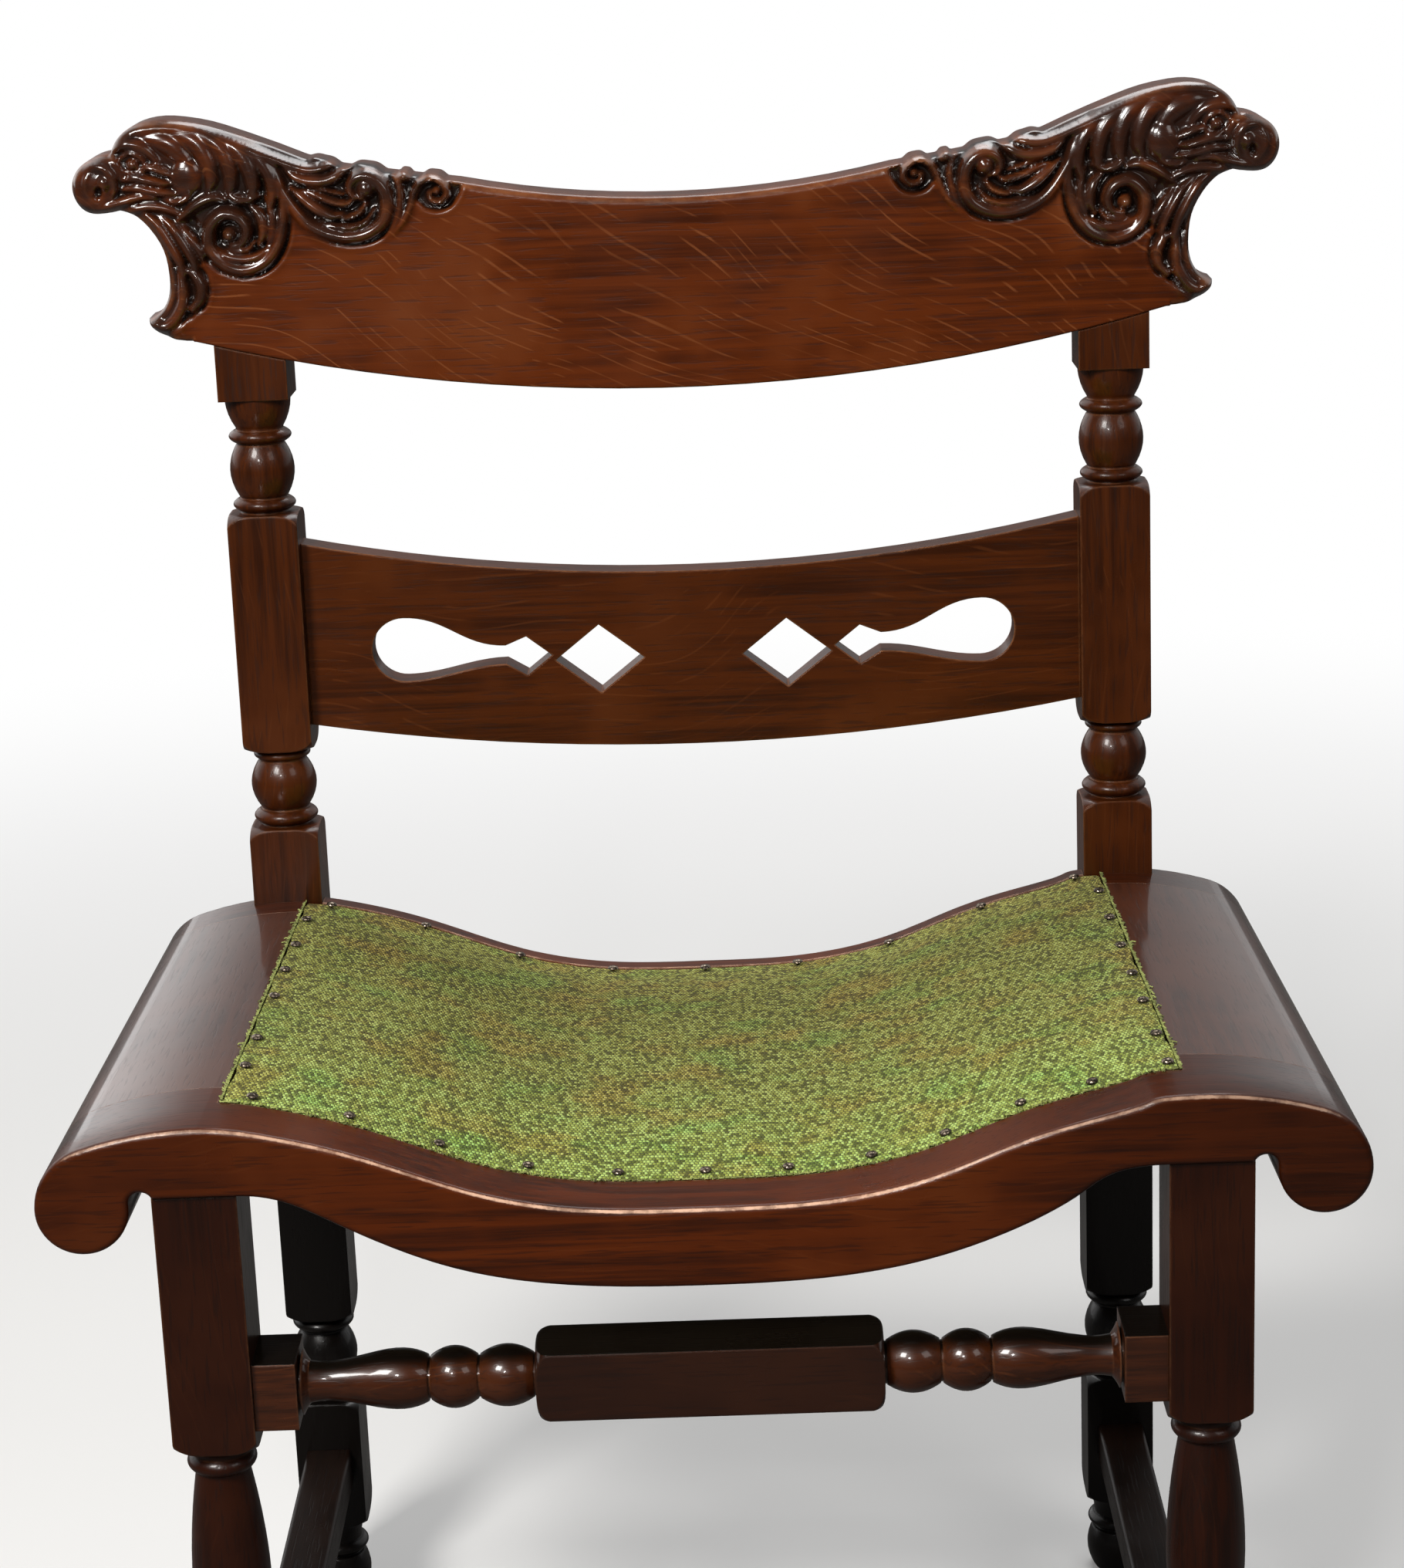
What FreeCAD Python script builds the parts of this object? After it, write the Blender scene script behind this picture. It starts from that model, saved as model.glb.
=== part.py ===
import FreeCAD
import Part
import math
import os

# A low-backed oak chair: turned front legs and back posts, a carved crest rail, a pierced middle rail,
# a saddle seat that rolls over into a lobe at each side, and an upholstered panel let into the seat.
# Millimetres. X runs across the chair, Y from front to back, Z up from the floor.

Vector = FreeCAD.Vector

# Seat board, seen from the front. Insets run inwards from the seat's side edge
seat_width = 610.0
seat_depth = 400.0
seat_height = 457.0
seat_drop = 19.0
peak_inset = 77.0
saddle_sag = 46.7
saddle_x_shares = (0.25, 0.46, 0.69, 0.88)
saddle_z_shares = (0.038, 0.25, 0.67, 0.925)
lobe_drop = 38.3
lobe_radius = 21.5
shoulder_radius = 31.0
side_height = 33.8
notch_radius = 5.7
notch_rise = 3.5
underside_sag = 51.8
underside_x_shares = (0.311, 0.561, 0.809)
underside_z_shares = (0.054, 0.272, 0.75)
worn_edge_radius = 2.0
board_edge_radius = 3.0

# Seat frame, seen from above
front_rail_depth = 60.0
rear_rail_depth = 36.0
wing_width = 100.0
panel_side_band = 82.0
panel_front_band = 38.0
panel_rear_band = 14.0
rabbet_depth = 6.5

# Front legs
leg_inset = 73.0
leg_size = 39.0
leg_setback = 3.0
leg_block_length = 129.5
leg_tenon_diameter = 24.0
leg_tenon_length = 20.0

# Lower blocks, the same on all four legs
lower_block_length = 80.0

# Back posts
post_size = 38.0
post_housing = 14.0
post_lean_degrees = 1.6
low_block_rise = 42.0
long_block_length = 132.5
cap_block_height = 26.0

# Rounded shoulders where a square block meets a turning
shoulder_length = 6.5
shoulder_end_share = 0.88

# Turnings, from the bottom up: length of each stretch, then its diameters at even steps
foot_rows = (
    (26.0, 27.0, 35.5, 30.0),
    (2.0, 26.0, 26.0),
    (7.0, 29.0, 34.5, 29.0),
    (14.0, 27.0, 28.5, 35.0),
)
leg_ring_row = (7.0, 28.5, 34.0, 28.5)
leg_vase_diameters = (23.0, 28.7, 36.8, 35.0, 25.3)
leg_top_ring_row = (8.0, 28.0, 33.0, 28.0)
leg_cove_row = (6.0, 27.5, 29.0, 35.0)
post_ring_row = (7.6, 29.0, 35.5, 29.0)
post_neck_row = (1.4, 26.0, 26.0)
post_low_neck_row = (1.95, 26.0, 26.0)
post_low_ball_row = (30.0, 27.0, 37.0, 27.0)
post_ball_row = (26.5, 27.0, 36.3, 27.0)
post_small_ring_row = (4.8, 27.5, 31.5, 27.5)
post_top_ring_row = (6.5, 28.5, 34.2, 28.5)
post_barrel_row = (28.2, 27.0, 35.2, 27.0)
post_cup_row = (16.4, 26.0, 33.5, 36.0)

# Front stretcher. Its turned rows run from the middle block outwards
stretcher_rise = 27.4
stretcher_size = 33.4
stretcher_end_length = 20.3
stretcher_tenon_diameter = 17.0
stretcher_tenon_length = 18.0
stretcher_rows = (
    (1.3, 20.0, 20.0),
    (25.0, 21.0, 29.3, 21.0),
    (1.3, 19.5, 19.5),
    (22.0, 21.0, 29.3, 21.0),
    (1.2, 19.5, 19.5),
    (40.5, 22.0, 28.6, 25.0, 19.8),
    (15.0, 19.8, 18.4, 20.0),
    (3.4, 20.0, 24.5, 31.0),
    (1.3, 26.0, 26.0),
)

# Side stretchers
side_stretcher_width = 26.0
side_stretcher_height = 22.0
side_tenon_diameter = 15.0
side_tenon_length = 18.0

# Middle rail between the posts
mid_rail_rise = 13.3
mid_rail_height = 97.7
mid_rail_thickness = 19.0
mid_rail_top_bow = 22.5
mid_rail_bottom_bow = 18.5
mid_tenon_length = 16.0
mid_tenon_thickness = 9.0
mid_tenon_shoulder = 12.0
bulb_radius = 17.8
bulb_offset = 159.3
bulb_level = 58.9
slot_neck_offset = 103.5
slot_neck_level = 54.1
slot_neck_width = 10.4
barb_offset = 92.0
barb_height = 21.9
barb_level = 53.0
slot_tip_offset = 78.0
diamond_offset = 51.7
diamond_level = 50.0
diamond_width = 49.0
diamond_height = 38.4

# Crest rail
crest_overhang = 89.0
crest_height = 101.7
crest_rise = 151.7
crest_thickness = 30.0
crest_proud = 1.5
crest_bottom_radius = 1010.0
crest_top_radius = 555.0
crest_plain_spacing = 230.0
# Points of the carved end as shares of half the crest's width and of its rise: the mane and brow,
# the muzzle, the hollow neck down to the hooked tip, and the hook's underside
mane_shares = ((0.452, 0.778), (0.54, 0.808), (0.593, 0.832), (0.64, 0.872), (0.69, 0.915), (0.73, 0.947),
               (0.773, 0.977), (0.81, 0.993), (0.844, 1.0), (0.876, 0.992), (0.901, 0.97), (0.92, 0.932),
               (0.931, 0.888))
muzzle_shares = ((0.95, 0.884), (0.971, 0.866), (0.991, 0.83), (1.0, 0.778), (0.995, 0.725), (0.981, 0.691),
                 (0.96, 0.68), (0.922, 0.692))
neck_shares = ((0.894, 0.668), (0.87, 0.613), (0.854, 0.547), (0.848, 0.468), (0.849, 0.409), (0.857, 0.36),
               (0.871, 0.326), (0.889, 0.308))
hook_shares = ((0.883, 0.272), (0.866, 0.248), (0.844, 0.232))
hook_end_share = 0.81

# Upholstery
webbing_width = 50.0
webbing_thickness = 1.4
webbing_count = 5
webbing_clearance = 2.0
webbing_inset = 12.0
burlap_thickness = 0.8
padding_thickness = 1.4
cover_thickness = 1.5
pad_crown = 5.0
soft_gap = 0.3
cover_edge_gap = 0.6
crown_shares = (0.0, 0.12, 0.3, 0.5, 0.7, 0.88, 1.0)

# Tacks
tack_head_width = 6.0
tack_head_height = 1.8
tack_top_share = 0.45
tack_shank_width = 1.7
tack_shank_length = 11.0
tack_tip_share = 0.3
head_sides = 8
shank_sides = 4
tack_inset = 6.0
front_tack_inset = 8.0
# Places along the front edge, and along the left and right edges, as shares from the middle and the front
front_tack_shares = (-0.96, -0.756, -0.567, -0.378, -0.184, 0.005, 0.184, 0.364, 0.525, 0.687, 0.84, 1.0)
left_tack_shares = (0.13, 0.26, 0.47, 0.61, 0.75, 0.9)
right_tack_shares = (0.13, 0.29, 0.43, 0.58, 0.74, 0.9)
rear_tack_count = 9
webbing_tack_shares = (-0.25, 0.25)
webbing_tack_head = 5.0
webbing_tack_head_height = 0.8
webbing_tack_length = 9.0

# Corner blocks and their screws
corner_block_reach = 30.0
corner_block_height = 16.0
corner_block_nose = 10.0
screw_diameter = 4.5
screw_head_diameter = 9.0
screw_head_height = 2.6
corner_screw_length = 45.0
post_screw_length = 48.0
post_screw_spacing = 16.0

# Dowels
dowel_diameter = 10.0
crest_dowel_depth = 26.0
post_dowel_depth = 30.0
wing_dowel_depth = 20.0
wing_dowel_offsets = (-8.0, 42.0)
wing_dowel_drop = 22.0

# Fits
fit_gap = 0.15
seat_gap = 0.3
overrun = 5.0

# Places worked out from the sizes above
edge_x = seat_width / 2
half_peak = edge_x - peak_inset
seat_slope = seat_drop / seat_depth
lobe_z = seat_height - lobe_drop
flat_z = seat_height - side_height
leg_x = edge_x - leg_inset
leg_inner_x = leg_x - leg_size / 2
leg_axis_y = leg_setback + leg_size / 2
leg_top = flat_z - seat_slope * leg_axis_y
leg_block_bottom = leg_top - leg_block_length
stretcher_height = leg_block_bottom + stretcher_rise
post_inner_x = leg_x - post_size / 2
post_front_y = seat_depth - post_housing
post_axis_y = post_front_y + post_size / 2
lean_z = seat_height - seat_drop
low_block_top = lean_z + low_block_rise
panel_half = edge_x - panel_side_band
panel_front_y = panel_front_band
panel_rear_y = seat_depth - panel_rear_band
rear_rail_y = seat_depth - rear_rail_depth
wing_inner_x = edge_x - wing_width
crest_front_y = post_front_y - crest_proud
crest_half = leg_x + crest_overhang


def box(x0, x1, y0, y1, z0, z1):
    return Part.makeBox(x1 - x0, y1 - y0, z1 - z0, Vector(x0, y0, z0))


def line(start, end):
    return Part.makeLine(start, end)


def arc(start, middle, end):
    return Part.Arc(start, middle, end).toShape()


def spline(points, first_tangent=None, last_tangent=None):
    curve = Part.BSplineCurve()
    if first_tangent and last_tangent:
        curve.interpolate(Points=points, InitialTangent=first_tangent, FinalTangent=last_tangent)
    else:
        curve.interpolate(Points=points)
    return curve.toShape()


def face_of(edges):
    return Part.Face(Part.Wire(edges))


def mirrored(shape):
    return shape.mirror(Vector(0, 0, 0), Vector(1, 0, 0))


def lean(shape):
    # The back leans from the seat upwards
    leaned = shape.copy()
    leaned.rotate(Vector(0, post_front_y, lean_z), Vector(1, 0, 0), -post_lean_degrees)
    return leaned


def profile_edges(rows, start):
    # Edges of a turning's outline beside the Z axis, with a step wherever two stretches differ
    edges = []
    level = start
    corner = Vector(0, 0, start)
    for row in rows:
        length = row[0]
        radii = [diameter / 2 for diameter in row[1:]]
        steps = len(radii) - 1
        points = [Vector(radius, 0, level + length * i / steps) for i, radius in enumerate(radii)]
        if not corner.isEqual(points[0], fit_gap / seat_width):
            edges.append(line(corner, points[0]))
        edges.append(line(points[0], points[1]) if steps == 1 else spline(points))
        corner = points[-1]
        level = level + length
    edges.append(line(corner, Vector(0, 0, level)))
    edges.append(line(Vector(0, 0, level), Vector(0, 0, start)))
    return edges


def rows_length(rows):
    return sum(row[0] for row in rows)


def bow_height(radius, x):
    # How far an arc has risen beside its lowest point
    return radius - math.sqrt(radius ** 2 - x ** 2)


def turned(rows, start):
    # A turning on the Z axis
    outline = face_of(profile_edges(rows, start))
    return outline.revolve(Vector(0, 0, 0), Vector(0, 0, 1), 360)


foot_height = rows_length(foot_rows)
lower_block_top = foot_height + lower_block_length
side_stretcher_level = foot_height + lower_block_length / 2
rear_leg_rows = (post_low_neck_row, post_ring_row, post_low_neck_row, post_low_ball_row, post_low_neck_row,
                 post_ring_row, post_low_neck_row)
rear_block_bottom = lower_block_top + rows_length(rear_leg_rows)
post_ball_rows = (post_neck_row, post_ring_row, post_neck_row, post_ball_row, post_neck_row,
                  post_small_ring_row, post_neck_row)
long_block_bottom = low_block_top + rows_length(post_ball_rows)
long_block_top = long_block_bottom + long_block_length
post_top_rows = (post_neck_row, post_top_ring_row, post_neck_row, post_barrel_row, post_neck_row,
                 post_top_ring_row, post_neck_row, post_cup_row)
cap_bottom = long_block_top + rows_length(post_top_rows)
cap_top = cap_bottom + cap_block_height
mid_rail_base = long_block_bottom + mid_rail_rise - mid_rail_bottom_bow
crest_base = cap_top - bow_height(crest_bottom_radius, leg_x)


def square_block(size, bottom, top, round_bottom, round_top):
    # A square block on the Z axis whose ends are rounded where the lathe tool ran into its corners
    block = box(-size / 2, size / 2, -size / 2, size / 2, bottom, top)
    corner_radius = size / math.sqrt(2) * (1 + fit_gap / size)
    end_radius = size / 2 * shoulder_end_share
    bulge = 1 / math.sqrt(2)
    edges = []
    points = []
    if round_bottom:
        points.append(Vector(end_radius, 0, bottom))
        middle = Vector(end_radius + (corner_radius - end_radius) * bulge, 0,
                        bottom + shoulder_length * (1 - bulge))
        edges.append(arc(points[-1], middle, Vector(corner_radius, 0, bottom + shoulder_length)))
        points.append(Vector(corner_radius, 0, bottom + shoulder_length))
    else:
        points.append(Vector(corner_radius, 0, bottom))
    if round_top:
        side_end = Vector(corner_radius, 0, top - shoulder_length)
        edges.append(line(points[-1], side_end))
        middle = Vector(end_radius + (corner_radius - end_radius) * bulge, 0,
                        top - shoulder_length * (1 - bulge))
        last = Vector(end_radius, 0, top)
        edges.append(arc(side_end, middle, last))
    else:
        last = Vector(corner_radius, 0, top)
        edges.append(line(points[-1], last))
    edges.append(line(last, Vector(0, 0, top)))
    edges.append(line(Vector(0, 0, top), Vector(0, 0, bottom)))
    edges.append(line(Vector(0, 0, bottom), points[0]))
    envelope = face_of(edges).revolve(Vector(0, 0, 0), Vector(0, 0, 1), 360)
    return block.common(envelope)


def joined(pieces):
    whole = pieces[0].multiFuse(pieces[1:])
    return whole.removeSplitter()


# The seat board's outline, in the plane of its front face

def saddle_edge(lift):
    side = []
    for x_share, z_share in zip(saddle_x_shares, saddle_z_shares):
        side.append((half_peak * x_share, seat_height - saddle_sag * (1 - z_share) + lift))
    points = [Vector(-half_peak, 0, seat_height + lift)]
    points += [Vector(-x, 0, z) for x, z in reversed(side)]
    points.append(Vector(0, 0, seat_height - saddle_sag + lift))
    points += [Vector(x, 0, z) for x, z in side]
    points.append(Vector(half_peak, 0, seat_height + lift))
    return spline(points, Vector(1, 0, 0), Vector(1, 0, 0))


def underside_edge():
    side = []
    for x_share, z_share in zip(underside_x_shares, underside_z_shares):
        side.append((leg_inner_x * x_share, flat_z - underside_sag * (1 - z_share)))
    points = [Vector(-leg_inner_x, 0, flat_z)]
    points += [Vector(-x, 0, z) for x, z in reversed(side)]
    points.append(Vector(0, 0, flat_z - underside_sag))
    points += [Vector(x, 0, z) for x, z in side]
    points.append(Vector(leg_inner_x, 0, flat_z))
    return spline(points, Vector(1, 0, 0), Vector(1, 0, 0))


def lobe_edges():
    # From the peak over the shoulder, round the lobe and through the notch to the flat over the leg
    small = Vector(edge_x - shoulder_radius, 0, lobe_z)
    reach = small.x - half_peak
    fall = lobe_drop
    top_radius = (reach ** 2 + fall ** 2 - shoulder_radius ** 2) / (2 * (fall - shoulder_radius))
    big = Vector(half_peak, 0, seat_height - top_radius)
    towards = (small - big).normalize()
    meeting = small + towards * shoulder_radius
    half_turn = (Vector(0, 0, 1) + towards).normalize()
    top_arc = arc(Vector(half_peak, 0, seat_height), big + half_turn * top_radius, meeting)
    outermost = Vector(edge_x, 0, lobe_z)
    side_turn = (towards + Vector(1, 0, 0)).normalize()
    side_arc = arc(meeting, small + side_turn * shoulder_radius, outermost)
    lobe_x = edge_x - lobe_radius
    lobe_inner = Vector(lobe_x - lobe_radius, 0, lobe_z)
    lobe_arc = arc(outermost, Vector(lobe_x, 0, lobe_z - lobe_radius), lobe_inner)
    notch_z = flat_z + notch_rise - notch_radius
    notch_x = lobe_inner.x - notch_radius
    notch_start = Vector(lobe_inner.x, 0, notch_z)
    notch_half = math.sqrt(notch_radius ** 2 - (flat_z - notch_z) ** 2)
    notch_end = Vector(notch_x - notch_half, 0, flat_z)
    notch_arc = arc(notch_start, Vector(notch_x, 0, notch_z + notch_radius), notch_end)
    flat = line(notch_end, Vector(leg_inner_x, 0, flat_z))
    return [top_arc, side_arc, lobe_arc, line(lobe_inner, notch_start), notch_arc, flat]


def seat_outline():
    side = lobe_edges()
    other_side = [mirrored(edge) for edge in side]
    edges = [saddle_edge(0), underside_edge()] + side + other_side
    return Part.Face(Part.Wire(Part.__sortEdges__(edges)))


def swept(face, y0, y1):
    # Carry an outline from the front plane back along the seat, which falls towards the rear
    placed = face.copy()
    placed.translate(Vector(0, y0, -seat_slope * y0))
    return placed.extrude(Vector(0, y1 - y0, -seat_slope * (y1 - y0)))


def end_board(y0, y1, outer_y):
    # A board across the seat, its edges rounded all the way along its outer face
    board = swept(seat_outline(), y0, y1)
    rim = [edge for edge in board.Edges if all(abs(vertex.Y - outer_y) < fit_gap for vertex in edge.Vertexes)]
    return board.makeFillet(board_edge_radius, rim)


def saddle_band(low, high, x0, x1, y0, y1):
    # A layer between two heights above the seat's surface
    edges = [saddle_edge(low), saddle_edge(high)]
    for side in (-1, 1):
        peak = Vector(side * half_peak, 0, seat_height)
        edges.append(line(peak + Vector(0, 0, low), peak + Vector(0, 0, high)))
    layer = swept(Part.Face(Part.Wire(Part.__sortEdges__(edges))), y0, y1)
    return layer.common(box(x0, x1, y0 - overrun, y1 + overrun, 0, seat_height + overrun + high))


def rabbet():
    return saddle_band(-rabbet_depth, overrun, -panel_half, panel_half, panel_front_y, panel_rear_y)


def dowel_hole(position, direction, depth):
    return Part.makeCylinder(dowel_diameter / 2 + fit_gap, depth + fit_gap, position, direction)


def wing_dowel_places():
    # On both rails' inner faces, one dowel under the panel's edge and one in the lobe
    places = []
    for rail_y in (front_rail_depth, rear_rail_y):
        for side in (-1, 1):
            for offset in wing_dowel_offsets:
                level = seat_height - seat_slope * rail_y - wing_dowel_drop
                places.append(Vector(side * (leg_x + offset), rail_y, level))
    return places


def wing_dowel_holes():
    holes = []
    for place in wing_dowel_places():
        start = place - Vector(0, wing_dowel_depth, 0)
        holes.append(dowel_hole(start, Vector(0, 1, 0), 2 * wing_dowel_depth))
    return holes


def wing_dowels():
    pins = []
    for place in wing_dowel_places():
        start = place - Vector(0, wing_dowel_depth - fit_gap, 0)
        length = 2 * (wing_dowel_depth - fit_gap)
        pins.append(Part.makeCylinder(dowel_diameter / 2, length, start, Vector(0, 1, 0)))
    return Part.makeCompound(pins)


# Front legs

def front_leg(side):
    rings_length = rows_length((leg_ring_row, leg_top_ring_row, leg_cove_row))
    vase_length = leg_block_bottom - lower_block_top - rings_length
    middle = (leg_ring_row, (vase_length,) + leg_vase_diameters, leg_top_ring_row, leg_cove_row)
    block = square_block(leg_size, leg_block_bottom, seat_height, True, False)
    # The block's top follows the fall of the seat that lies on it
    front = Vector(-leg_size, -leg_size, leg_top + seat_slope * leg_size)
    rear = Vector(-leg_size, leg_size, leg_top - seat_slope * leg_size)
    above = Vector(0, 0, leg_size)
    waste = Part.Face(Part.makePolygon([front, rear, rear + above, front + above, front]))
    block = block.cut(waste.extrude(Vector(2 * leg_size, 0, 0)))
    tenon_length = leg_block_length / 2 + leg_tenon_length
    tenon_start = Vector(0, 0, leg_top - leg_block_length / 2)
    tenon = Part.makeCylinder(leg_tenon_diameter / 2, tenon_length, tenon_start)
    leg = joined([turned(foot_rows, 0), square_block(leg_size, foot_height, lower_block_top, True, True),
                  turned(middle, lower_block_top), block, tenon])
    leg.translate(Vector(side * leg_x, leg_axis_y, 0))
    return leg.cut(Part.makeCompound([stretcher_tenon(side, fit_gap), side_tenon(side, False, fit_gap)]))


def leg_mortise(side):
    length = leg_tenon_length + fit_gap + overrun
    return Part.makeCylinder(leg_tenon_diameter / 2 + fit_gap, length,
                             Vector(side * leg_x, leg_axis_y, leg_top - overrun))


# Front stretcher

def stretcher_tenon(side, gap):
    start = Vector(side * (leg_inner_x - overrun), leg_axis_y, stretcher_height)
    radius = stretcher_tenon_diameter / 2 + gap
    return Part.makeCylinder(radius, stretcher_tenon_length + overrun + gap, start, Vector(side, 0, 0))


def front_stretcher():
    turned_end = leg_inner_x - stretcher_end_length
    half_block = turned_end - rows_length(stretcher_rows)
    half = stretcher_size / 2
    pieces = [square_block(stretcher_size, -half_block, half_block, True, True)]
    for piece in (turned(stretcher_rows, half_block), box(-half, half, -half, half, turned_end, leg_inner_x)):
        pieces += [piece, piece.mirror(Vector(0, 0, 0), Vector(0, 0, 1))]
    bar = joined(pieces)
    bar.rotate(Vector(0, 0, 0), Vector(0, 1, 0), 90)
    bar.translate(Vector(0, leg_axis_y, stretcher_height))
    return joined([bar, stretcher_tenon(-1, 0), stretcher_tenon(1, 0)])


# Side stretchers

def side_tenon(side, rear, gap):
    face_y = post_front_y if rear else leg_axis_y + leg_size / 2
    towards = 1 if rear else -1
    start = Vector(side * leg_x, face_y - towards * overrun, side_stretcher_level)
    return Part.makeCylinder(side_tenon_diameter / 2 + gap, side_tenon_length + overrun + gap, start,
                             Vector(0, towards, 0))


def side_stretcher(side):
    half = side_stretcher_width / 2
    half_height = side_stretcher_height / 2
    bar = box(side * leg_x - half, side * leg_x + half, leg_axis_y + leg_size / 2, post_front_y,
              side_stretcher_level - half_height, side_stretcher_level + half_height)
    long_edges = [edge for edge in bar.Edges if abs(edge.tangentAt(edge.FirstParameter).y) == 1.0]
    bar = bar.makeFillet(worn_edge_radius, long_edges)
    return joined([bar, side_tenon(side, False, 0), side_tenon(side, True, 0)])


# Back posts, each one piece with its rear leg

def screw(place, direction, length, gap):
    # A countersunk wood screw, its head flush with the surface it enters
    shank_radius = screw_diameter / 2 + gap
    head_radius = screw_head_diameter / 2 + gap
    cone = Part.makeCone(head_radius, shank_radius, screw_head_height + gap, place, direction)
    shank = Part.makeCylinder(shank_radius, length + gap, place, direction)
    return cone.fuse(shank).removeSplitter()


def post_screw_shapes(side, gap):
    # Two screws through each post into the rear seat rail
    middle = lean_z - side_height / 2
    shapes = []
    for row in (-1, 1):
        place = Vector(side * leg_x, post_front_y + post_size, middle + row * post_screw_spacing / 2)
        shapes.append(screw(place, Vector(0, -1, 0), post_screw_length, gap))
    return shapes


def back_post(side):
    lower = joined([turned(foot_rows, 0), square_block(post_size, foot_height, lower_block_top, True, True),
                    turned(rear_leg_rows, lower_block_top),
                    square_block(post_size, rear_block_bottom, lean_z, True, False)])
    lower.translate(Vector(side * leg_x, post_axis_y, 0))
    half = post_size / 2
    upper = joined([square_block(post_size, lean_z, low_block_top, False, True),
                    turned(post_ball_rows, low_block_top),
                    square_block(post_size, long_block_bottom, long_block_top, True, True),
                    turned(post_top_rows, long_block_top),
                    box(-half, half, -half, half, cap_bottom, cap_top + post_size)])
    upper.translate(Vector(side * leg_x, post_axis_y, 0))
    room = [crest_space(), mid_rail_tenon(side, fit_gap), crest_dowel(side, fit_gap)]
    upper = upper.cut(Part.makeCompound(room))
    post = joined([lower, lean(upper)])
    return post.cut(Part.makeCompound([side_tenon(side, True, fit_gap)] + post_screw_shapes(side, fit_gap)))


# Middle rail

def mid_rail_outline():
    top = mid_rail_base + mid_rail_height
    lower_left = Vector(-post_inner_x, 0, mid_rail_base + mid_rail_bottom_bow)
    lower_right = Vector(post_inner_x, 0, mid_rail_base + mid_rail_bottom_bow)
    upper_left = Vector(-post_inner_x, 0, top + mid_rail_top_bow)
    upper_right = Vector(post_inner_x, 0, top + mid_rail_top_bow)
    return face_of([arc(lower_left, Vector(0, 0, mid_rail_base), lower_right), line(lower_right, upper_right),
                    arc(upper_right, Vector(0, 0, top), upper_left), line(upper_left, lower_left)])


def mid_rail_tenon(side, gap):
    bottom = mid_rail_base + mid_rail_bottom_bow + mid_tenon_shoulder
    top = mid_rail_base + mid_rail_height + mid_rail_top_bow - mid_tenon_shoulder
    half = mid_tenon_thickness / 2 + gap
    tenon = box(post_inner_x - overrun, post_inner_x + mid_tenon_length + gap, post_axis_y - half,
                post_axis_y + half, bottom - gap, top + gap)
    return tenon if side > 0 else mirrored(tenon)


def bulb_slot():
    # A bulb that narrows to a neck and ends in a barbed arrow point
    centre = Vector(bulb_offset, 0, mid_rail_base + bulb_level)
    top = centre + Vector(0, 0, bulb_radius)
    bottom = centre - Vector(0, 0, bulb_radius)
    end = centre + Vector(bulb_radius, 0, 0)
    neck = Vector(slot_neck_offset, 0, mid_rail_base + slot_neck_level)
    neck_half = Vector(0, 0, slot_neck_width / 2)
    barb = Vector(barb_offset, 0, mid_rail_base + barb_level)
    barb_half = Vector(0, 0, barb_height / 2)
    tip = Vector(slot_tip_offset, 0, mid_rail_base + barb_level)
    outward = Vector(1, 0, 0)
    return face_of([spline([neck + neck_half, top], outward, outward), arc(top, end, bottom),
                    spline([bottom, neck - neck_half], outward * -1, outward * -1),
                    line(neck - neck_half, barb - barb_half), line(barb - barb_half, tip),
                    line(tip, barb + barb_half), line(barb + barb_half, neck + neck_half)])


def diamond():
    centre = Vector(diamond_offset, 0, mid_rail_base + diamond_level)
    across = Vector(diamond_width / 2, 0, 0)
    upward = Vector(0, 0, diamond_height / 2)
    corners = [centre + across, centre + upward, centre - across, centre - upward]
    return Part.Face(Part.makePolygon(corners + [corners[0]]))


def middle_rail():
    front = Vector(0, post_axis_y - mid_rail_thickness / 2, 0)
    rail = mid_rail_outline().extrude(Vector(0, mid_rail_thickness, 0))
    rail.translate(front)
    cutters = []
    for shape in (bulb_slot(), diamond()):
        for outline in (shape, mirrored(shape)):
            cutter = outline.extrude(Vector(0, mid_rail_thickness + 2 * overrun, 0))
            cutter.translate(front - Vector(0, overrun, 0))
            cutters.append(cutter)
    rail = rail.cut(Part.makeCompound(cutters))
    return lean(joined([rail, mid_rail_tenon(-1, 0), mid_rail_tenon(1, 0)]))


# Crest rail

def crest_points(shares):
    return [Vector(crest_half * x_share, 0, crest_base + crest_rise * z_share) for x_share, z_share in shares]


def crest_side_edges(plain, hook_end):
    mane = crest_points(mane_shares)
    muzzle = crest_points(muzzle_shares)
    neck = crest_points(neck_shares)
    hook = crest_points(hook_shares)
    return [spline([plain] + mane), spline([mane[-1]] + muzzle), spline([muzzle[-1]] + neck),
            spline([neck[-1]] + hook + [hook_end])]


def crest_bottom_arc():
    reach = crest_half * hook_end_share
    level = crest_base + bow_height(crest_bottom_radius, reach)
    return arc(Vector(-reach, 0, level), Vector(0, 0, crest_base), Vector(reach, 0, level))


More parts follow.
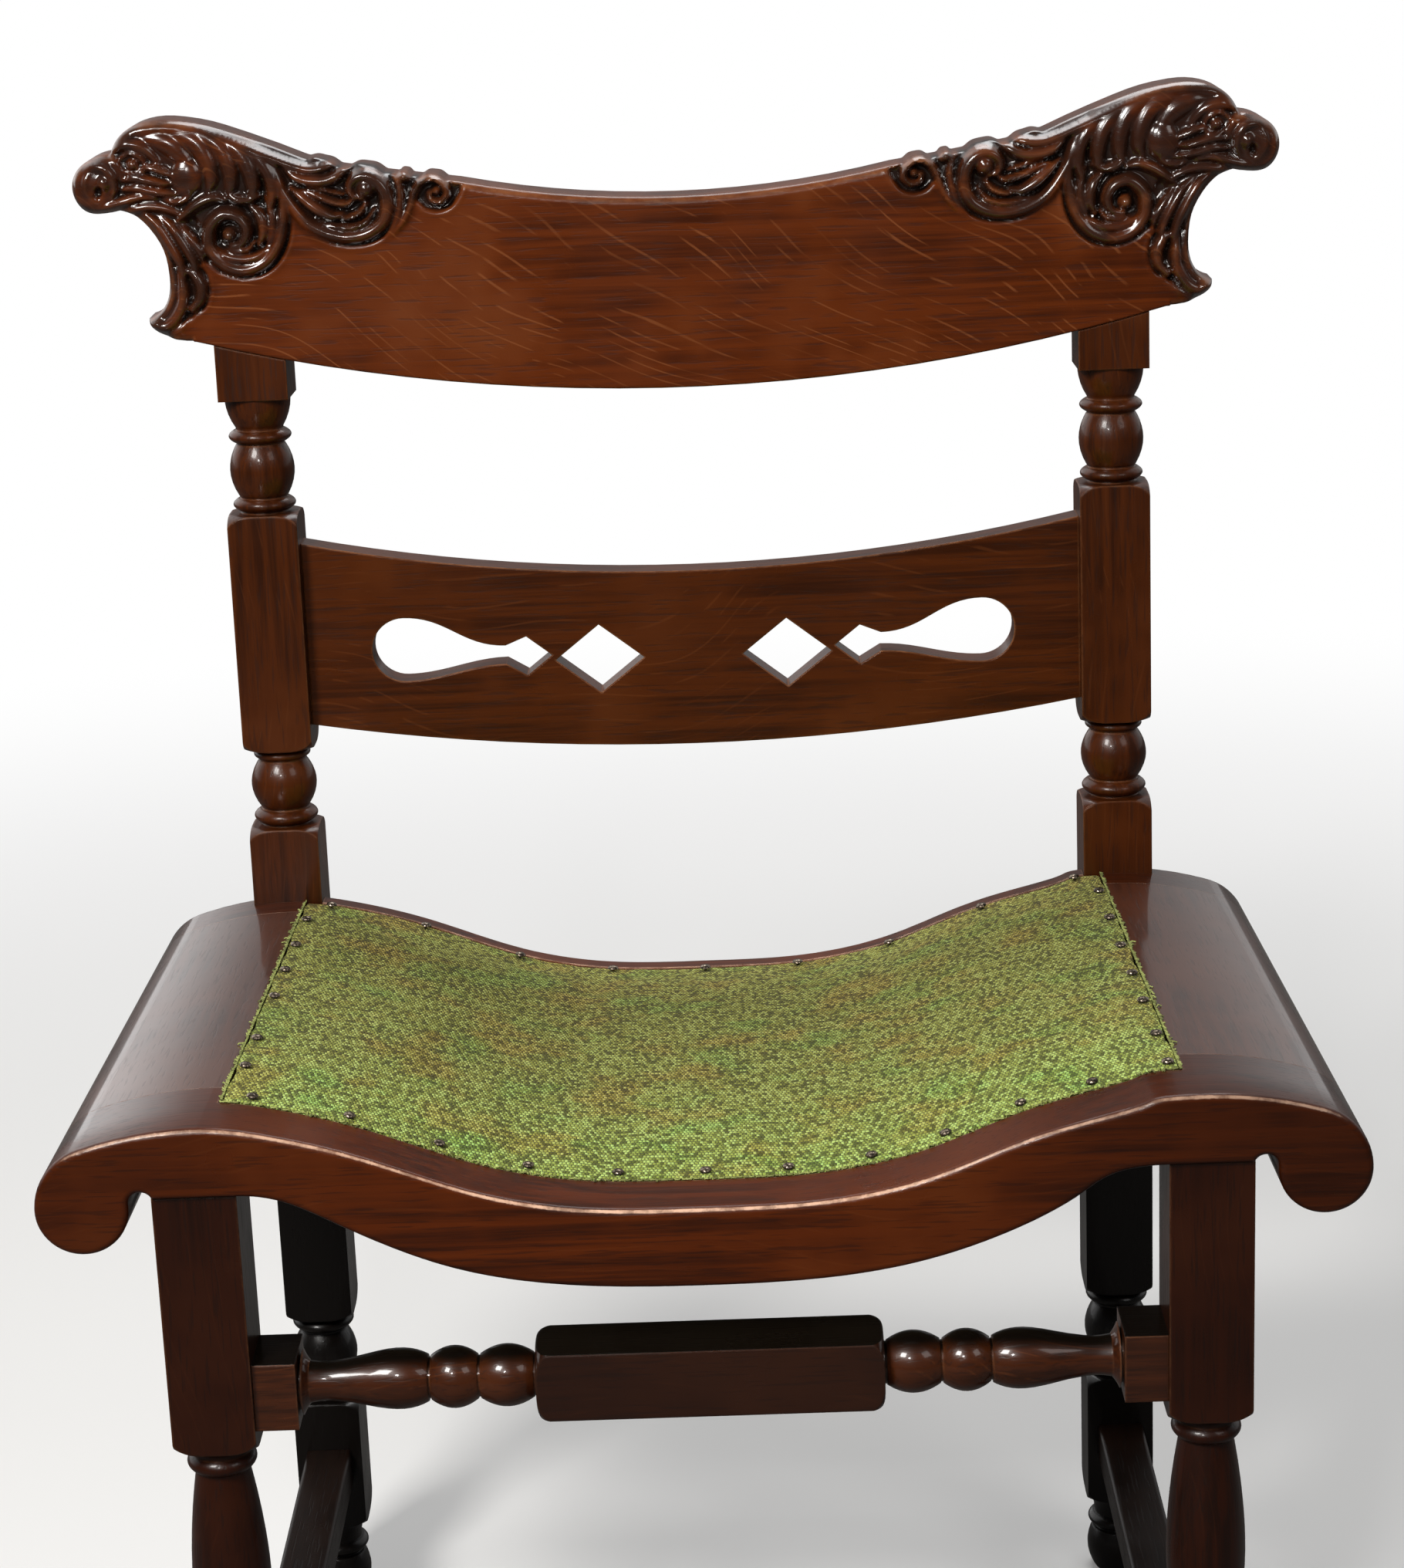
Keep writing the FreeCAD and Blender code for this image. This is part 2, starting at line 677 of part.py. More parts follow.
def crest_outline():
    plain_x = crest_plain_spacing / 2
    middle = Vector(0, 0, crest_base + crest_height)
    plain = middle + Vector(plain_x, 0, bow_height(crest_top_radius, plain_x))
    bottom = crest_bottom_arc()
    side = crest_side_edges(plain, bottom.Vertexes[-1].Point)
    top = arc(mirrored(Part.Vertex(plain)).Point, middle, plain)
    edges = [top, bottom] + side + [mirrored(edge) for edge in side]
    return Part.Face(Part.Wire(Part.__sortEdges__(edges)))


def crest_space():
    # All that lies above the crest rail's lower edge
    bottom = crest_bottom_arc()
    left, right = bottom.Vertexes[0].Point, bottom.Vertexes[-1].Point
    above = Vector(0, 0, crest_rise)
    outline = face_of([bottom, line(right, right + above), line(right + above, left + above),
                       line(left + above, left)])
    space = outline.extrude(Vector(0, post_size + 2 * overrun, 0))
    space.translate(Vector(0, post_front_y - overrun, 0))
    return space


def crest_dowel(side, gap):
    place = Vector(side * leg_x, crest_front_y + crest_thickness / 2, cap_top - post_dowel_depth - gap)
    return Part.makeCylinder(dowel_diameter / 2 + gap, post_dowel_depth + crest_dowel_depth + 2 * gap, place)


def crest_rail():
    rail = crest_outline().extrude(Vector(0, crest_thickness, 0))
    rail.translate(Vector(0, crest_front_y, 0))
    return lean(rail.cut(Part.makeCompound([crest_dowel(-1, fit_gap), crest_dowel(1, fit_gap)])))


# Seat frame

def seat_front_rail():
    rail = end_board(0, front_rail_depth, 0)
    return rail.cut(Part.makeCompound([rabbet(), leg_mortise(-1), leg_mortise(1)] + wing_dowel_holes()))


def seat_rear_rail():
    rail = end_board(rear_rail_y, seat_depth, seat_depth)
    cuts = [rabbet()] + wing_dowel_holes()
    half = post_size / 2 + fit_gap
    for side in (-1, 1):
        cuts.append(box(side * leg_x - half, side * leg_x + half, post_front_y, seat_depth + overrun, 0,
                        seat_height + overrun))
        cuts += post_screw_shapes(side, fit_gap)
    return rail.cut(Part.makeCompound(cuts))


def seat_wing(side):
    board = swept(seat_outline(), front_rail_depth, rear_rail_y)
    keep = box(wing_inner_x, seat_width, 0, seat_depth, 0, seat_height + overrun)
    board = board.common(keep if side > 0 else mirrored(keep))
    return board.cut(Part.makeCompound([rabbet()] + wing_dowel_holes()))


def corner_block(side, rail_y, towards):
    # A triangular block glued into the corner, with its point cut off square to its screw
    corner = Vector(side * wing_inner_x, rail_y, flat_z - seat_slope * rail_y)
    across = Vector(-side, 0, 0)
    along = Vector(0, towards, 0)
    corners = [corner, corner + across * corner_block_reach,
               corner + across * corner_block_reach + along * corner_block_nose,
               corner + across * corner_block_nose + along * corner_block_reach,
               corner + along * corner_block_reach, corner]
    return Part.Face(Part.makePolygon(corners)).extrude(Vector(0, 0, corner_block_height))


def corner_screw(side, rail_y, towards, gap):
    middle = (corner_block_reach + corner_block_nose) / 2
    place = Vector(side * (wing_inner_x - middle), rail_y + towards * middle,
                   flat_z - seat_slope * rail_y + corner_block_height / 2)
    return screw(place, Vector(side, -towards, 0).normalize(), corner_screw_length, gap)


# Upholstery

webbing_low = soft_gap - rabbet_depth
burlap_low = webbing_low + webbing_thickness + soft_gap
padding_low = burlap_low + burlap_thickness + soft_gap
cover_low = padding_low + padding_thickness + soft_gap
webbing_reach = wing_inner_x - corner_block_reach - webbing_clearance
webbing_pitch = (2 * webbing_reach - webbing_width) / (webbing_count - 1)
webbing_front_y = panel_front_y + webbing_inset
webbing_rear_y = panel_rear_y - webbing_inset
tack_line_x = panel_half - tack_inset
tack_line_front = panel_front_y + front_tack_inset
tack_line_rear = panel_rear_y - front_tack_inset
saddle = saddle_edge(0)


def crown_at(x, y):
    # The panel swells from its edges to its middle
    across = x / panel_half
    along = (2 * y - panel_front_y - panel_rear_y) / (panel_rear_y - panel_front_y)
    return pad_crown * (1 - across ** 2) ** 2 * (1 - along ** 2) ** 2


def saddle_z(x, y):
    upright = line(Vector(x, 0, 0), Vector(x, 0, 2 * seat_height))
    return saddle.distToShape(upright)[1][0][0].z - seat_slope * y


def burlap_top(x, y):
    return saddle_z(x, y) + burlap_low + burlap_thickness


def cover_top(x, y):
    return saddle_z(x, y) + cover_low + cover_thickness + crown_at(x, y)


def layer(low, high, y_shares):
    # A layer as large as the panel, between two surfaces that are each a height over a place on the seat.
    # Its sections run from peak to peak, as the saddle does, and are then cut to the panel's width
    xs = [half_peak * share for share in saddle_x_shares] + [half_peak]
    xs = [-x for x in reversed(xs)] + [0.0] + xs
    front_y = panel_front_y + cover_edge_gap
    rear_y = panel_rear_y - cover_edge_gap
    across = Vector(1, 0, 0)
    sections = []
    for share in y_shares:
        y = front_y + (rear_y - front_y) * share
        bottom = [Vector(x, y, low(x, y)) for x in xs]
        top = [Vector(x, y, high(x, y)) for x in xs]
        sections.append(Part.Wire([spline(bottom, across, across), line(bottom[-1], top[-1]),
                                   spline(top, across, across), line(top[0], bottom[0])]))
    whole = Part.makeLoft(sections, True, len(y_shares) == 2)
    half = panel_half - cover_edge_gap
    return whole.common(box(-half, half, front_y - overrun, rear_y + overrun, 0, 2 * seat_height))


def flat_layer(low, thickness, x0, x1):
    # A layer that follows the saddle, cut to its width and tacked at its ends
    high = low + thickness
    whole = layer(lambda x, y: saddle_z(x, y) + low, lambda x, y: saddle_z(x, y) + high, (0.0, 1.0))
    piece = whole.common(box(x0, x1, webbing_front_y, webbing_rear_y, 0, 2 * seat_height))
    return piece.cut(webbing_tack_room)


def webbing_strip(index):
    middle = webbing_pitch * (index - (webbing_count - 1) / 2)
    return flat_layer(webbing_low, webbing_thickness, middle - webbing_width / 2, middle + webbing_width / 2)


def seat_burlap():
    reach = panel_half - webbing_inset
    return flat_layer(burlap_low, burlap_thickness, -reach, reach)


def seat_padding():
    pad = layer(lambda x, y: saddle_z(x, y) + padding_low,
                lambda x, y: saddle_z(x, y) + padding_low + padding_thickness + crown_at(x, y), crown_shares)
    pockets = [standing(tack_head(webbing_tack_head, webbing_tack_head_height, soft_gap), x, y, burlap_top)
               for x, y in webbing_tack_places()]
    return pad.cut(Part.makeCompound(pockets + [post_clearance(), cover_tack_room]))


def seat_cover():
    cloth = layer(lambda x, y: saddle_z(x, y) + cover_low + crown_at(x, y), cover_top, crown_shares)
    return cloth.cut(Part.makeCompound([post_clearance(), cover_tack_room]))


def post_clearance():
    # The panel's rear corners are cut round the posts
    half = post_size / 2 + seat_gap
    return Part.makeCompound([box(side * leg_x - half, side * leg_x + half, post_front_y - seat_gap,
                                  seat_depth + overrun, 0, 2 * seat_height) for side in (-1, 1)])


# Tacks, each with a low faceted head and a square tapered shank

def polygon_ring(width, level, sides):
    corners = []
    for i in range(sides):
        angle = 2 * math.pi * i / sides
        corners.append(Vector(width / 2 * math.cos(angle), width / 2 * math.sin(angle), level))
    return Part.makePolygon(corners + [corners[0]])


def tack_head(width, height, gap):
    rim = polygon_ring(width + 2 * gap, -gap, head_sides)
    top = polygon_ring(width * tack_top_share + 2 * gap, height + gap, head_sides)
    return Part.makeLoft([rim, top], True, True)


def tack_shank(length, gap):
    top = polygon_ring(tack_shank_width + 2 * gap, 0, shank_sides)
    tip = polygon_ring(tack_shank_width * tack_tip_share + 2 * gap, -length - gap, shank_sides)
    return Part.makeLoft([top, tip], True, True)


def standing(pin, x, y, surface):
    # Stand a pin square to a surface, just clear of it
    step = tack_head_width / 2
    across = (surface(x + step, y) - surface(x - step, y)) / (2 * step)
    along = (surface(x, y + step) - surface(x, y - step)) / (2 * step)
    pin.rotate(Vector(0, 0, 0), Vector(0, 1, 0), -math.degrees(math.atan(across)))
    pin.rotate(Vector(0, 0, 0), Vector(1, 0, 0), math.degrees(math.atan(along)))
    pin.translate(Vector(x, y, surface(x, y) + soft_gap))
    return pin


def cover_tack_places():
    places = [(tack_line_x * share, tack_line_front) for share in front_tack_shares]
    length = tack_line_rear - tack_line_front
    places += [(-tack_line_x, tack_line_front + length * share) for share in left_tack_shares]
    places += [(tack_line_x, tack_line_front + length * share) for share in right_tack_shares]
    reach = post_inner_x - tack_inset
    for i in range(rear_tack_count):
        places.append((reach * (2 * i / (rear_tack_count - 1) - 1), tack_line_rear))
    return places


def webbing_tack_places():
    places = []
    for index in range(webbing_count):
        middle = webbing_pitch * (index - (webbing_count - 1) / 2)
        for y in ((webbing_front_y + front_rail_depth) / 2, (webbing_rear_y + rear_rail_y) / 2):
            places += [(middle + webbing_width * share, y) for share in webbing_tack_shares]
    return places


def cover_tacks():
    return Part.makeCompound([
        standing(tack_head(tack_head_width, tack_head_height, 0).fuse(tack_shank(tack_shank_length, 0)), x, y,
                 cover_top) for x, y in cover_tack_places()])


def webbing_tacks():
    return Part.makeCompound([
        standing(tack_head(webbing_tack_head, webbing_tack_head_height, 0).fuse(
            tack_shank(webbing_tack_length, 0)), x, y, burlap_top) for x, y in webbing_tack_places()])


# The room that the tacks take in all that they pass through
cover_tack_room = Part.makeCompound([standing(tack_shank(tack_shank_length, fit_gap), x, y, cover_top)
                                     for x, y in cover_tack_places()])
webbing_tack_room = Part.makeCompound([standing(tack_shank(webbing_tack_length, fit_gap), x, y, burlap_top)
                                       for x, y in webbing_tack_places()])

# Every piece, by the name of its node
sides = (("left", -1), ("right", 1))
corners = (("front", front_rail_depth, 1), ("rear", rear_rail_y, -1))
corner_screw_room = Part.makeCompound([corner_screw(side, rail_y, towards, fit_gap)
                                       for _, rail_y, towards in corners for _, side in sides])
frame_holes = Part.makeCompound([corner_screw_room, cover_tack_room, webbing_tack_room])
nodes = {}
for name, side in sides:
    nodes["front_leg_" + name] = front_leg(side)
    nodes["back_post_" + name] = back_post(side)
    nodes["side_stretcher_" + name] = side_stretcher(side)
    nodes["seat_wing_" + name] = seat_wing(side).cut(frame_holes)
    for place, rail_y, towards in corners:
        block = corner_block(side, rail_y, towards)
        nodes["corner_block_" + place + "_" + name] = block.cut(corner_screw_room)
nodes["front_stretcher"] = front_stretcher()
nodes["middle_rail"] = middle_rail()
nodes["crest_rail"] = crest_rail()
nodes["seat_front_rail"] = seat_front_rail().cut(frame_holes)
nodes["seat_rear_rail"] = seat_rear_rail().cut(frame_holes)
for index in range(webbing_count):
    nodes["webbing_strip_" + str(index + 1)] = webbing_strip(index)
nodes["seat_burlap"] = seat_burlap()
nodes["seat_padding"] = seat_padding()
nodes["seat_cover"] = seat_cover()
nodes["cover_tacks"] = cover_tacks()
nodes["webbing_tacks"] = webbing_tacks()
nodes["wing_dowels"] = wing_dowels()
nodes["crest_dowels"] = Part.makeCompound([lean(crest_dowel(side, 0)) for _, side in sides])
nodes["corner_screws"] = Part.makeCompound([corner_screw(side, rail_y, towards, 0)
                                            for _, rail_y, towards in corners for _, side in sides])
nodes["post_screws"] = Part.makeCompound(post_screw_shapes(-1, 0) + post_screw_shapes(1, 0))

# The origin is on the floor, below the middle of the whole chair's box, which runs from the seat's front
# face to the back corners of the posts' caps
corner_ys = [vertex.Y for shape in nodes.values() for vertex in shape.Vertexes]
middle_y = (min(corner_ys) + max(corner_ys)) / 2
os.makedirs("parts", exist_ok=True)
for name, shape in nodes.items():
    shape.translate(Vector(0, -middle_y, 0))
    shape.exportStep("parts/" + name + ".step")
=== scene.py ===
import bpy
import math
import numpy as np
from mathutils import Matrix, Vector
from mathutils.geometry import delaunay_2d_cdt


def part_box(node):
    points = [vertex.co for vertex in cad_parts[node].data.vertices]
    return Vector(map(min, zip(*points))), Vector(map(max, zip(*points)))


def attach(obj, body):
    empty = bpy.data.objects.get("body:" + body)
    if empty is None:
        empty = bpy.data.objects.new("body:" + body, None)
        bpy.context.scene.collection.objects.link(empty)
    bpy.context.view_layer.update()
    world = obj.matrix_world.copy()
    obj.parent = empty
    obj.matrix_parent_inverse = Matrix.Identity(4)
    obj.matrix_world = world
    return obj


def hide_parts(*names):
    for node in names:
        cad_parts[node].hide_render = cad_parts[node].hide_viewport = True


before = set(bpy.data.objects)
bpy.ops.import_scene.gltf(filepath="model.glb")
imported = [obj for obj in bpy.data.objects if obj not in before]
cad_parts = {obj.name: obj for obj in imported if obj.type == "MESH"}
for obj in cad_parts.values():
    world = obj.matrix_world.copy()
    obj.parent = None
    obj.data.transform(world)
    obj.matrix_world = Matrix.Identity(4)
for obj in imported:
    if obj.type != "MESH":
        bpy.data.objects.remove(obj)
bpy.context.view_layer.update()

mm = 0.001


# The view. The chair stands before a standing viewer, a little left of them, and fills the picture from
# the crest to the middle of the front legs. The lens is long, so that the two ends of the crest look alike.

eye_place = Vector((0.026158, -1.689437, 1.041410))
eye_yaw = 0.013
eye_pitch = 0.284
eye_roll = -0.039
eye_lens = 80.30
sensor_long_side = 36.0

ahead = Vector((-math.sin(eye_yaw) * math.cos(eye_pitch), math.cos(eye_yaw) * math.cos(eye_pitch),
                -math.sin(eye_pitch)))
level_right = Vector((math.cos(eye_yaw), math.sin(eye_yaw), 0))
level_up = level_right.cross(ahead)
picture_right = math.cos(eye_roll) * level_right + math.sin(eye_roll) * level_up
picture_up = math.cos(eye_roll) * level_up - math.sin(eye_roll) * level_right
bpy.ops.object.camera_add(location=eye_place)
camera = bpy.context.object
camera.rotation_mode = "QUATERNION"
camera.rotation_quaternion = Matrix((picture_right, picture_up, -ahead)).transposed().to_quaternion()
camera.data.lens = eye_lens
camera.data.sensor_width = sensor_long_side
bpy.context.scene.camera = camera


# The studio: a wide pale floor that fades to white away from the chair, and a surround that the viewer
# sees white and that lights the chair from behind, most on the left. A soft lamp stands over the viewer's
# left shoulder with a small one beside it, and weaker ones stand on the right and behind.

floor_size = 80.0
floor_seen = (0.80, 0.795, 0.785, 1)
floor_unseen = (0.11, 0.105, 0.10, 1)
fade_start = 0.75
fade_end = 2.6
white = (1, 1, 1, 1)
white_level = 1.0
dim_surround = 0.08
rear_surround = 0.14
left_surround = 1.3
right_surround = 0.48
rear_limits = (-0.2, 0.5)
left_limits = (-0.14, -0.42)
right_limits = (0.14, 0.46)


def fresh_material(name):
    """A material with only its Principled shader and its output, its tree and the shader."""
    material = bpy.data.materials.new(name)
    material.use_nodes = True
    return material, material.node_tree, material.node_tree.nodes["Principled BSDF"]


def feed(target, **inputs):
    """A node's inputs, by name or by number as in i0, are each given a value or linked to an output."""
    for name, value in inputs.items():
        key = name.replace("_", " ")
        entry = target.inputs[int(key[1:])] if key[0] == "i" and key[1:].isdigit() else target.inputs[key]
        if isinstance(value, bpy.types.NodeSocket):
            target.id_data.links.new(value, entry)
        else:
            entry.default_value = value


def node(tree, kind, settings=None, **inputs):
    """A new node in a tree, with its settings and its inputs."""
    made = tree.nodes.new("ShaderNode" + kind)
    for name, value in (settings or {}).items():
        setattr(made, name, value)
    feed(made, **inputs)
    return made


def blend(tree, factor, first, second, mode="MIX"):
    """The colour between two colours."""
    mix = node(tree, "Mix", {"data_type": "RGBA", "blend_type": mode}, i0=factor, i6=first, i7=second)
    return mix.outputs[2]


def ramp(tree, value, low, high, bottom=0.0, top=1.0):
    """A value brought from low and high to bottom and top, smoothly."""
    step = node(tree, "MapRange", {"interpolation_type": "SMOOTHSTEP"}, Value=value, From_Min=low,
                From_Max=high, To_Min=bottom, To_Max=top)
    return step.outputs["Result"]


def sums(tree, kind, first, second=0.0, third=0.0):
    """One, two or three numbers or outputs put together by one sum."""
    return node(tree, "Math", {"operation": kind}, i0=first, i1=second, i2=third).outputs[0]


def split(tree, vector):
    """The X, Y and Z of a vector."""
    return node(tree, "SeparateXYZ", i0=vector).outputs


def lamp(name, place, aim, size, watts, colour):
    """A square soft lamp at a place, turned towards a point."""
    bpy.ops.object.light_add(type="AREA", location=place)
    light = bpy.context.object
    light.name = name
    light.data.size = size
    light.data.energy = watts
    light.data.color = colour
    light.rotation_mode = "QUATERNION"
    light.rotation_quaternion = (Vector(aim) - Vector(place)).to_track_quat("-Z", "Y")


bpy.ops.mesh.primitive_plane_add(size=floor_size, location=(0, 0, 0))
floor = bpy.context.object
floor.name = "floor"
floor_paint, tree, shader = fresh_material("floor_paint")
seen = node(tree, "LightPath").outputs["Is Camera Ray"]
away = node(tree, "VectorMath", {"operation": "LENGTH"}, i0=node(tree, "TexCoord").outputs["Object"])
fade = ramp(tree, away.outputs["Value"], fade_start, fade_end)
feed(shader, Base_Color=blend(tree, seen, floor_unseen, floor_seen), Roughness=0.85, Specular_IOR_Level=0.1)
glow = node(tree, "Emission", Color=white, Strength=white_level)
faded = sums(tree, "MULTIPLY", fade, seen)
either = node(tree, "MixShader", i0=faded, i1=shader.outputs[0], i2=glow.outputs[0])
feed(tree.nodes["Material Output"], Surface=either.outputs[0])
floor.data.materials.append(floor_paint)

world = bpy.data.worlds.new("surround")
bpy.context.scene.world = world
world.use_nodes = True
tree = world.node_tree
heading = split(tree, node(tree, "TexCoord").outputs["Generated"])
left = ramp(tree, heading["X"], *left_limits, rear_surround, left_surround)
right = ramp(tree, heading["X"], *right_limits, 0.0, right_surround)
behind = ramp(tree, heading["Y"], *rear_limits)
given_light = sums(tree, "MULTIPLY_ADD", behind, sums(tree, "ADD", left, right), dim_surround)
seen = node(tree, "LightPath").outputs["Is Camera Ray"]
level = node(tree, "Mix", Factor=seen, A=given_light, B=white_level)
feed(tree.nodes["Background"], Color=white, Strength=level.outputs["Result"])

lamp("key_lamp", place=(-1.15, -1.75, 2.3), aim=(0, 0, 0.55), size=0.7, watts=66, colour=(1.0, 0.98, 0.95))
lamp("small_lamp", place=(-0.4, -2.1, 1.75), aim=(0, 0, 0.6), size=0.16, watts=12, colour=(1.0, 0.98, 0.96))
lamp("fill_lamp", place=(1.7, -1.6, 2.2), aim=(0, 0, 0.5), size=1.0, watts=9, colour=(1.0, 0.98, 0.96))
lamp("rear_lamp", place=(0.2, 1.5, 2.4), aim=(0, 0.1, 0.5), size=1.2, watts=22, colour=(0.98, 0.99, 1.0))

bpy.context.scene.view_settings.view_transform = "Standard"


# Oak. The chair is of quarter-sawn oak, and all that shows of it is stained a deep red brown and varnished.
# Its growth rings show as fine lines along the board, its pores as short dark ticks and its rays as pale
# wandering flecks.

ring_stretch = (5.0, 210.0, 210.0)
pore_stretch = (45.0, 700.0, 700.0)
ray_stretch = (17.0, 150.0, 150.0)
ray_drift = (8.0, 42.0, 42.0)
ray_bend = (0.10, 0.10, 0.10)
ray_spacing = 5.6 * mm
ray_slant = 0.6
ray_waver = 14.0
pore_darkness = 0.42
figure_relief = 0.4 * mm
cut_black = (0.004, 0.0022, 0.0015, 1)
grain_across = (0, 0, 0)
grain_upright = (0, math.pi / 2, 0)
grain_to_rear = (0, 0, -math.pi / 2)


def stretched(tree, vector, scale):
    """Coordinates that are stretched along each axis."""
    return node(tree, "VectorMath", {"operation": "MULTIPLY"}, i0=vector, i1=scale).outputs[0]


def noise(tree, vector, scale, detail, **more):
    """A value that wanders from place to place."""
    return node(tree, "TexNoise", Vector=vector, Scale=scale, Detail=detail, **more).outputs["Fac"]


def socket(group, name, kind, way, value=None):
    """One named socket on a node group, with its usual value."""
    made = group.interface.new_socket(name=name, in_out=way, socket_type="NodeSocket" + kind)
    if value is not None:
        made.default_value = value


def make_oak_figure():
    """The group that turns coordinates, with the grain along X, into the figure of stained oak."""
    group = bpy.data.node_groups.new("oak_figure", "ShaderNodeTree")
    socket(group, "Grain", "Vector", "INPUT")
    socket(group, "Rays", "Vector", "INPUT")
    socket(group, "Deep", "Color", "INPUT", (0.012, 0.003, 0.001, 1))
    socket(group, "Body", "Color", "INPUT", (0.06, 0.014, 0.004, 1))
    socket(group, "Fleck", "Color", "INPUT", (0.12, 0.035, 0.012, 1))
    socket(group, "Fleck Amount", "Float", "INPUT", 0.5)
    socket(group, "Worn", "Color", "INPUT", (0.42, 0.17, 0.07, 1))
    socket(group, "Wear", "Float", "INPUT", 0.5)
    socket(group, "Edge Width", "Float", "INPUT", 1.8 * mm)
    socket(group, "Hollow", "Float", "INPUT", 0.0)
    socket(group, "Top", "Float", "INPUT", 0.0)
    socket(group, "Gloss", "Float", "INPUT", 0.3)
    socket(group, "Color", "Color", "OUTPUT")
    socket(group, "Roughness", "Float", "OUTPUT")
    socket(group, "Normal", "Vector", "OUTPUT")
    given = group.nodes.new("NodeGroupInput").outputs
    result = group.nodes.new("NodeGroupOutput")

    drift = noise(group, given["Rays"], 11.0, 3.0, Roughness=0.6)
    rings = stretched(group, given["Grain"], ring_stretch)
    rings = noise(group, rings, 1.0, 5.0, Roughness=0.62, Distortion=0.4)
    pores = noise(group, stretched(group, given["Grain"], pore_stretch), 1.0, 1.5)
    wander = node(group, "TexNoise", Vector=given["Rays"], Scale=5.0, Detail=1.0).outputs["Color"]
    bent = node(group, "VectorMath", {"operation": "MULTIPLY_ADD"}, i0=wander, i1=ray_bend, i2=given["Rays"])
    broken = noise(group, stretched(group, bent.outputs[0], ray_stretch), 1.0, 2.0)
    uneven = noise(group, stretched(group, bent.outputs[0], ray_drift), 1.0, 1.0)
    parts = split(group, bent.outputs[0])
    across = sums(group, "MULTIPLY_ADD", parts["Y"], ray_slant, parts["Z"])
    waver = sums(group, "MULTIPLY", uneven, ray_waver)
    phase = sums(group, "MULTIPLY_ADD", across, 2 * math.pi / ray_spacing, waver)
    patches = noise(group, given["Rays"], 17.0, 2.0)

    ring = ramp(group, rings, 0.34, 0.66)
    pore = ramp(group, pores, 0.56, 0.68)
    ray = sums(group, "MULTIPLY", ramp(group, sums(group, "SINE", phase), 0.78, 0.98),
               ramp(group, broken, 0.49, 0.58))
    ray = sums(group, "MULTIPLY", ray, ramp(group, patches, 0.34, 0.58, 0.15, 1.0))
    ray = sums(group, "MULTIPLY", ray, given["Fleck Amount"])

    tone = blend(group, ring, given["Deep"], given["Body"])
    tone = blend(group, ramp(group, drift, 0.36, 0.64, 0.25, 0.95), tone, given["Body"])
    tone = blend(group, ramp(group, drift, 0.5, 0.75, 0.0, 0.3), tone, given["Fleck"])
    tone = blend(group, ray, tone, given["Fleck"])
    tone = blend(group, sums(group, "MULTIPLY", pore, pore_darkness), tone, given["Deep"])

    rounded = node(group, "Bevel", {"samples": 4}, Radius=given["Edge Width"]).outputs[0]
    flat = node(group, "NewGeometry").outputs["Normal"]
    turn = node(group, "VectorMath", {"operation": "DOT_PRODUCT"}, i0=rounded, i1=flat).outputs["Value"]
    edge = sums(group, "MAXIMUM", ramp(group, turn, 0.97, 0.82), given["Top"])
    edge = sums(group, "MULTIPLY", edge, given["Wear"])
    chips = noise(group, given["Rays"], 90.0, 4.0, Roughness=0.7)
    edge = sums(group, "MULTIPLY", edge, ramp(group, chips, 0.35, 0.62, 0.35, 1.0))
    tone = blend(group, edge, tone, given["Worn"])
    tone = blend(group, given["Hollow"], tone, cut_black)

    dulled = noise(group, given["Rays"], 24.0, 4.0)
    rough = sums(group, "ADD", sums(group, "MULTIPLY_ADD", dulled, 0.2, -0.1), given["Gloss"])
    rough = sums(group, "MULTIPLY_ADD", pore, 0.1, rough)
    height = sums(group, "SUBTRACT", sums(group, "MULTIPLY", ring, 0.3), pore)
    bump = node(group, "Bump", Strength=0.12, Distance=figure_relief, Height=height, Normal=rounded)
    feed(result, Color=tone, Roughness=rough, Normal=bump.outputs[0])
    return group


oak_figure = make_oak_figure()


def oak(name, grain, ray_turn=None, shift=(0, 0, 0), coat=0.2, specular=0.25, **values):
    """Stained oak with its own colours. Its grain runs one way, its rays another if a turn is given for
    them, and a shift takes it from another part of the pattern."""
    material, tree, shader = fresh_material(name)
    place = node(tree, "TexCoord").outputs["Object"]
    turned = [node(tree, "Mapping", {"vector_type": "TEXTURE"}, Vector=place, Location=shift, Rotation=turn)
              for turn in (grain, ray_turn or grain)]
    along, rays = (mapping.outputs[0] for mapping in turned)
    figure = node(tree, "Group", {"node_tree": oak_figure}, Grain=along, Rays=rays, **values)
    feed(shader, Base_Color=figure.outputs["Color"], Roughness=figure.outputs["Roughness"],
         Normal=figure.outputs["Normal"], Specular_IOR_Level=specular, Coat_Weight=coat, Coat_Roughness=0.08)
    return material, figure


# Front legs and stretchers. Each leg is one stick of oak, square at the joints and turned between them,
# and the stretchers are turned or square sticks with round tenons glued into the legs. The block in the
# middle of the front stretcher is darker. Painted shade makes what faces up near black, and makes the side
# stretchers nearly black all over.

block_reach = 81.0 * mm
block_fade = 2.0 * mm
block_stain = (0.011, 0.0028, 0.0010, 1)
painted_shade_black = (0.004, 0.0026, 0.0016, 1)


def finish_nodes(names, material):
    """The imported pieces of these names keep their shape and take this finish."""
    for name in names:
        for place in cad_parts[name].material_slots:
            place.material = material


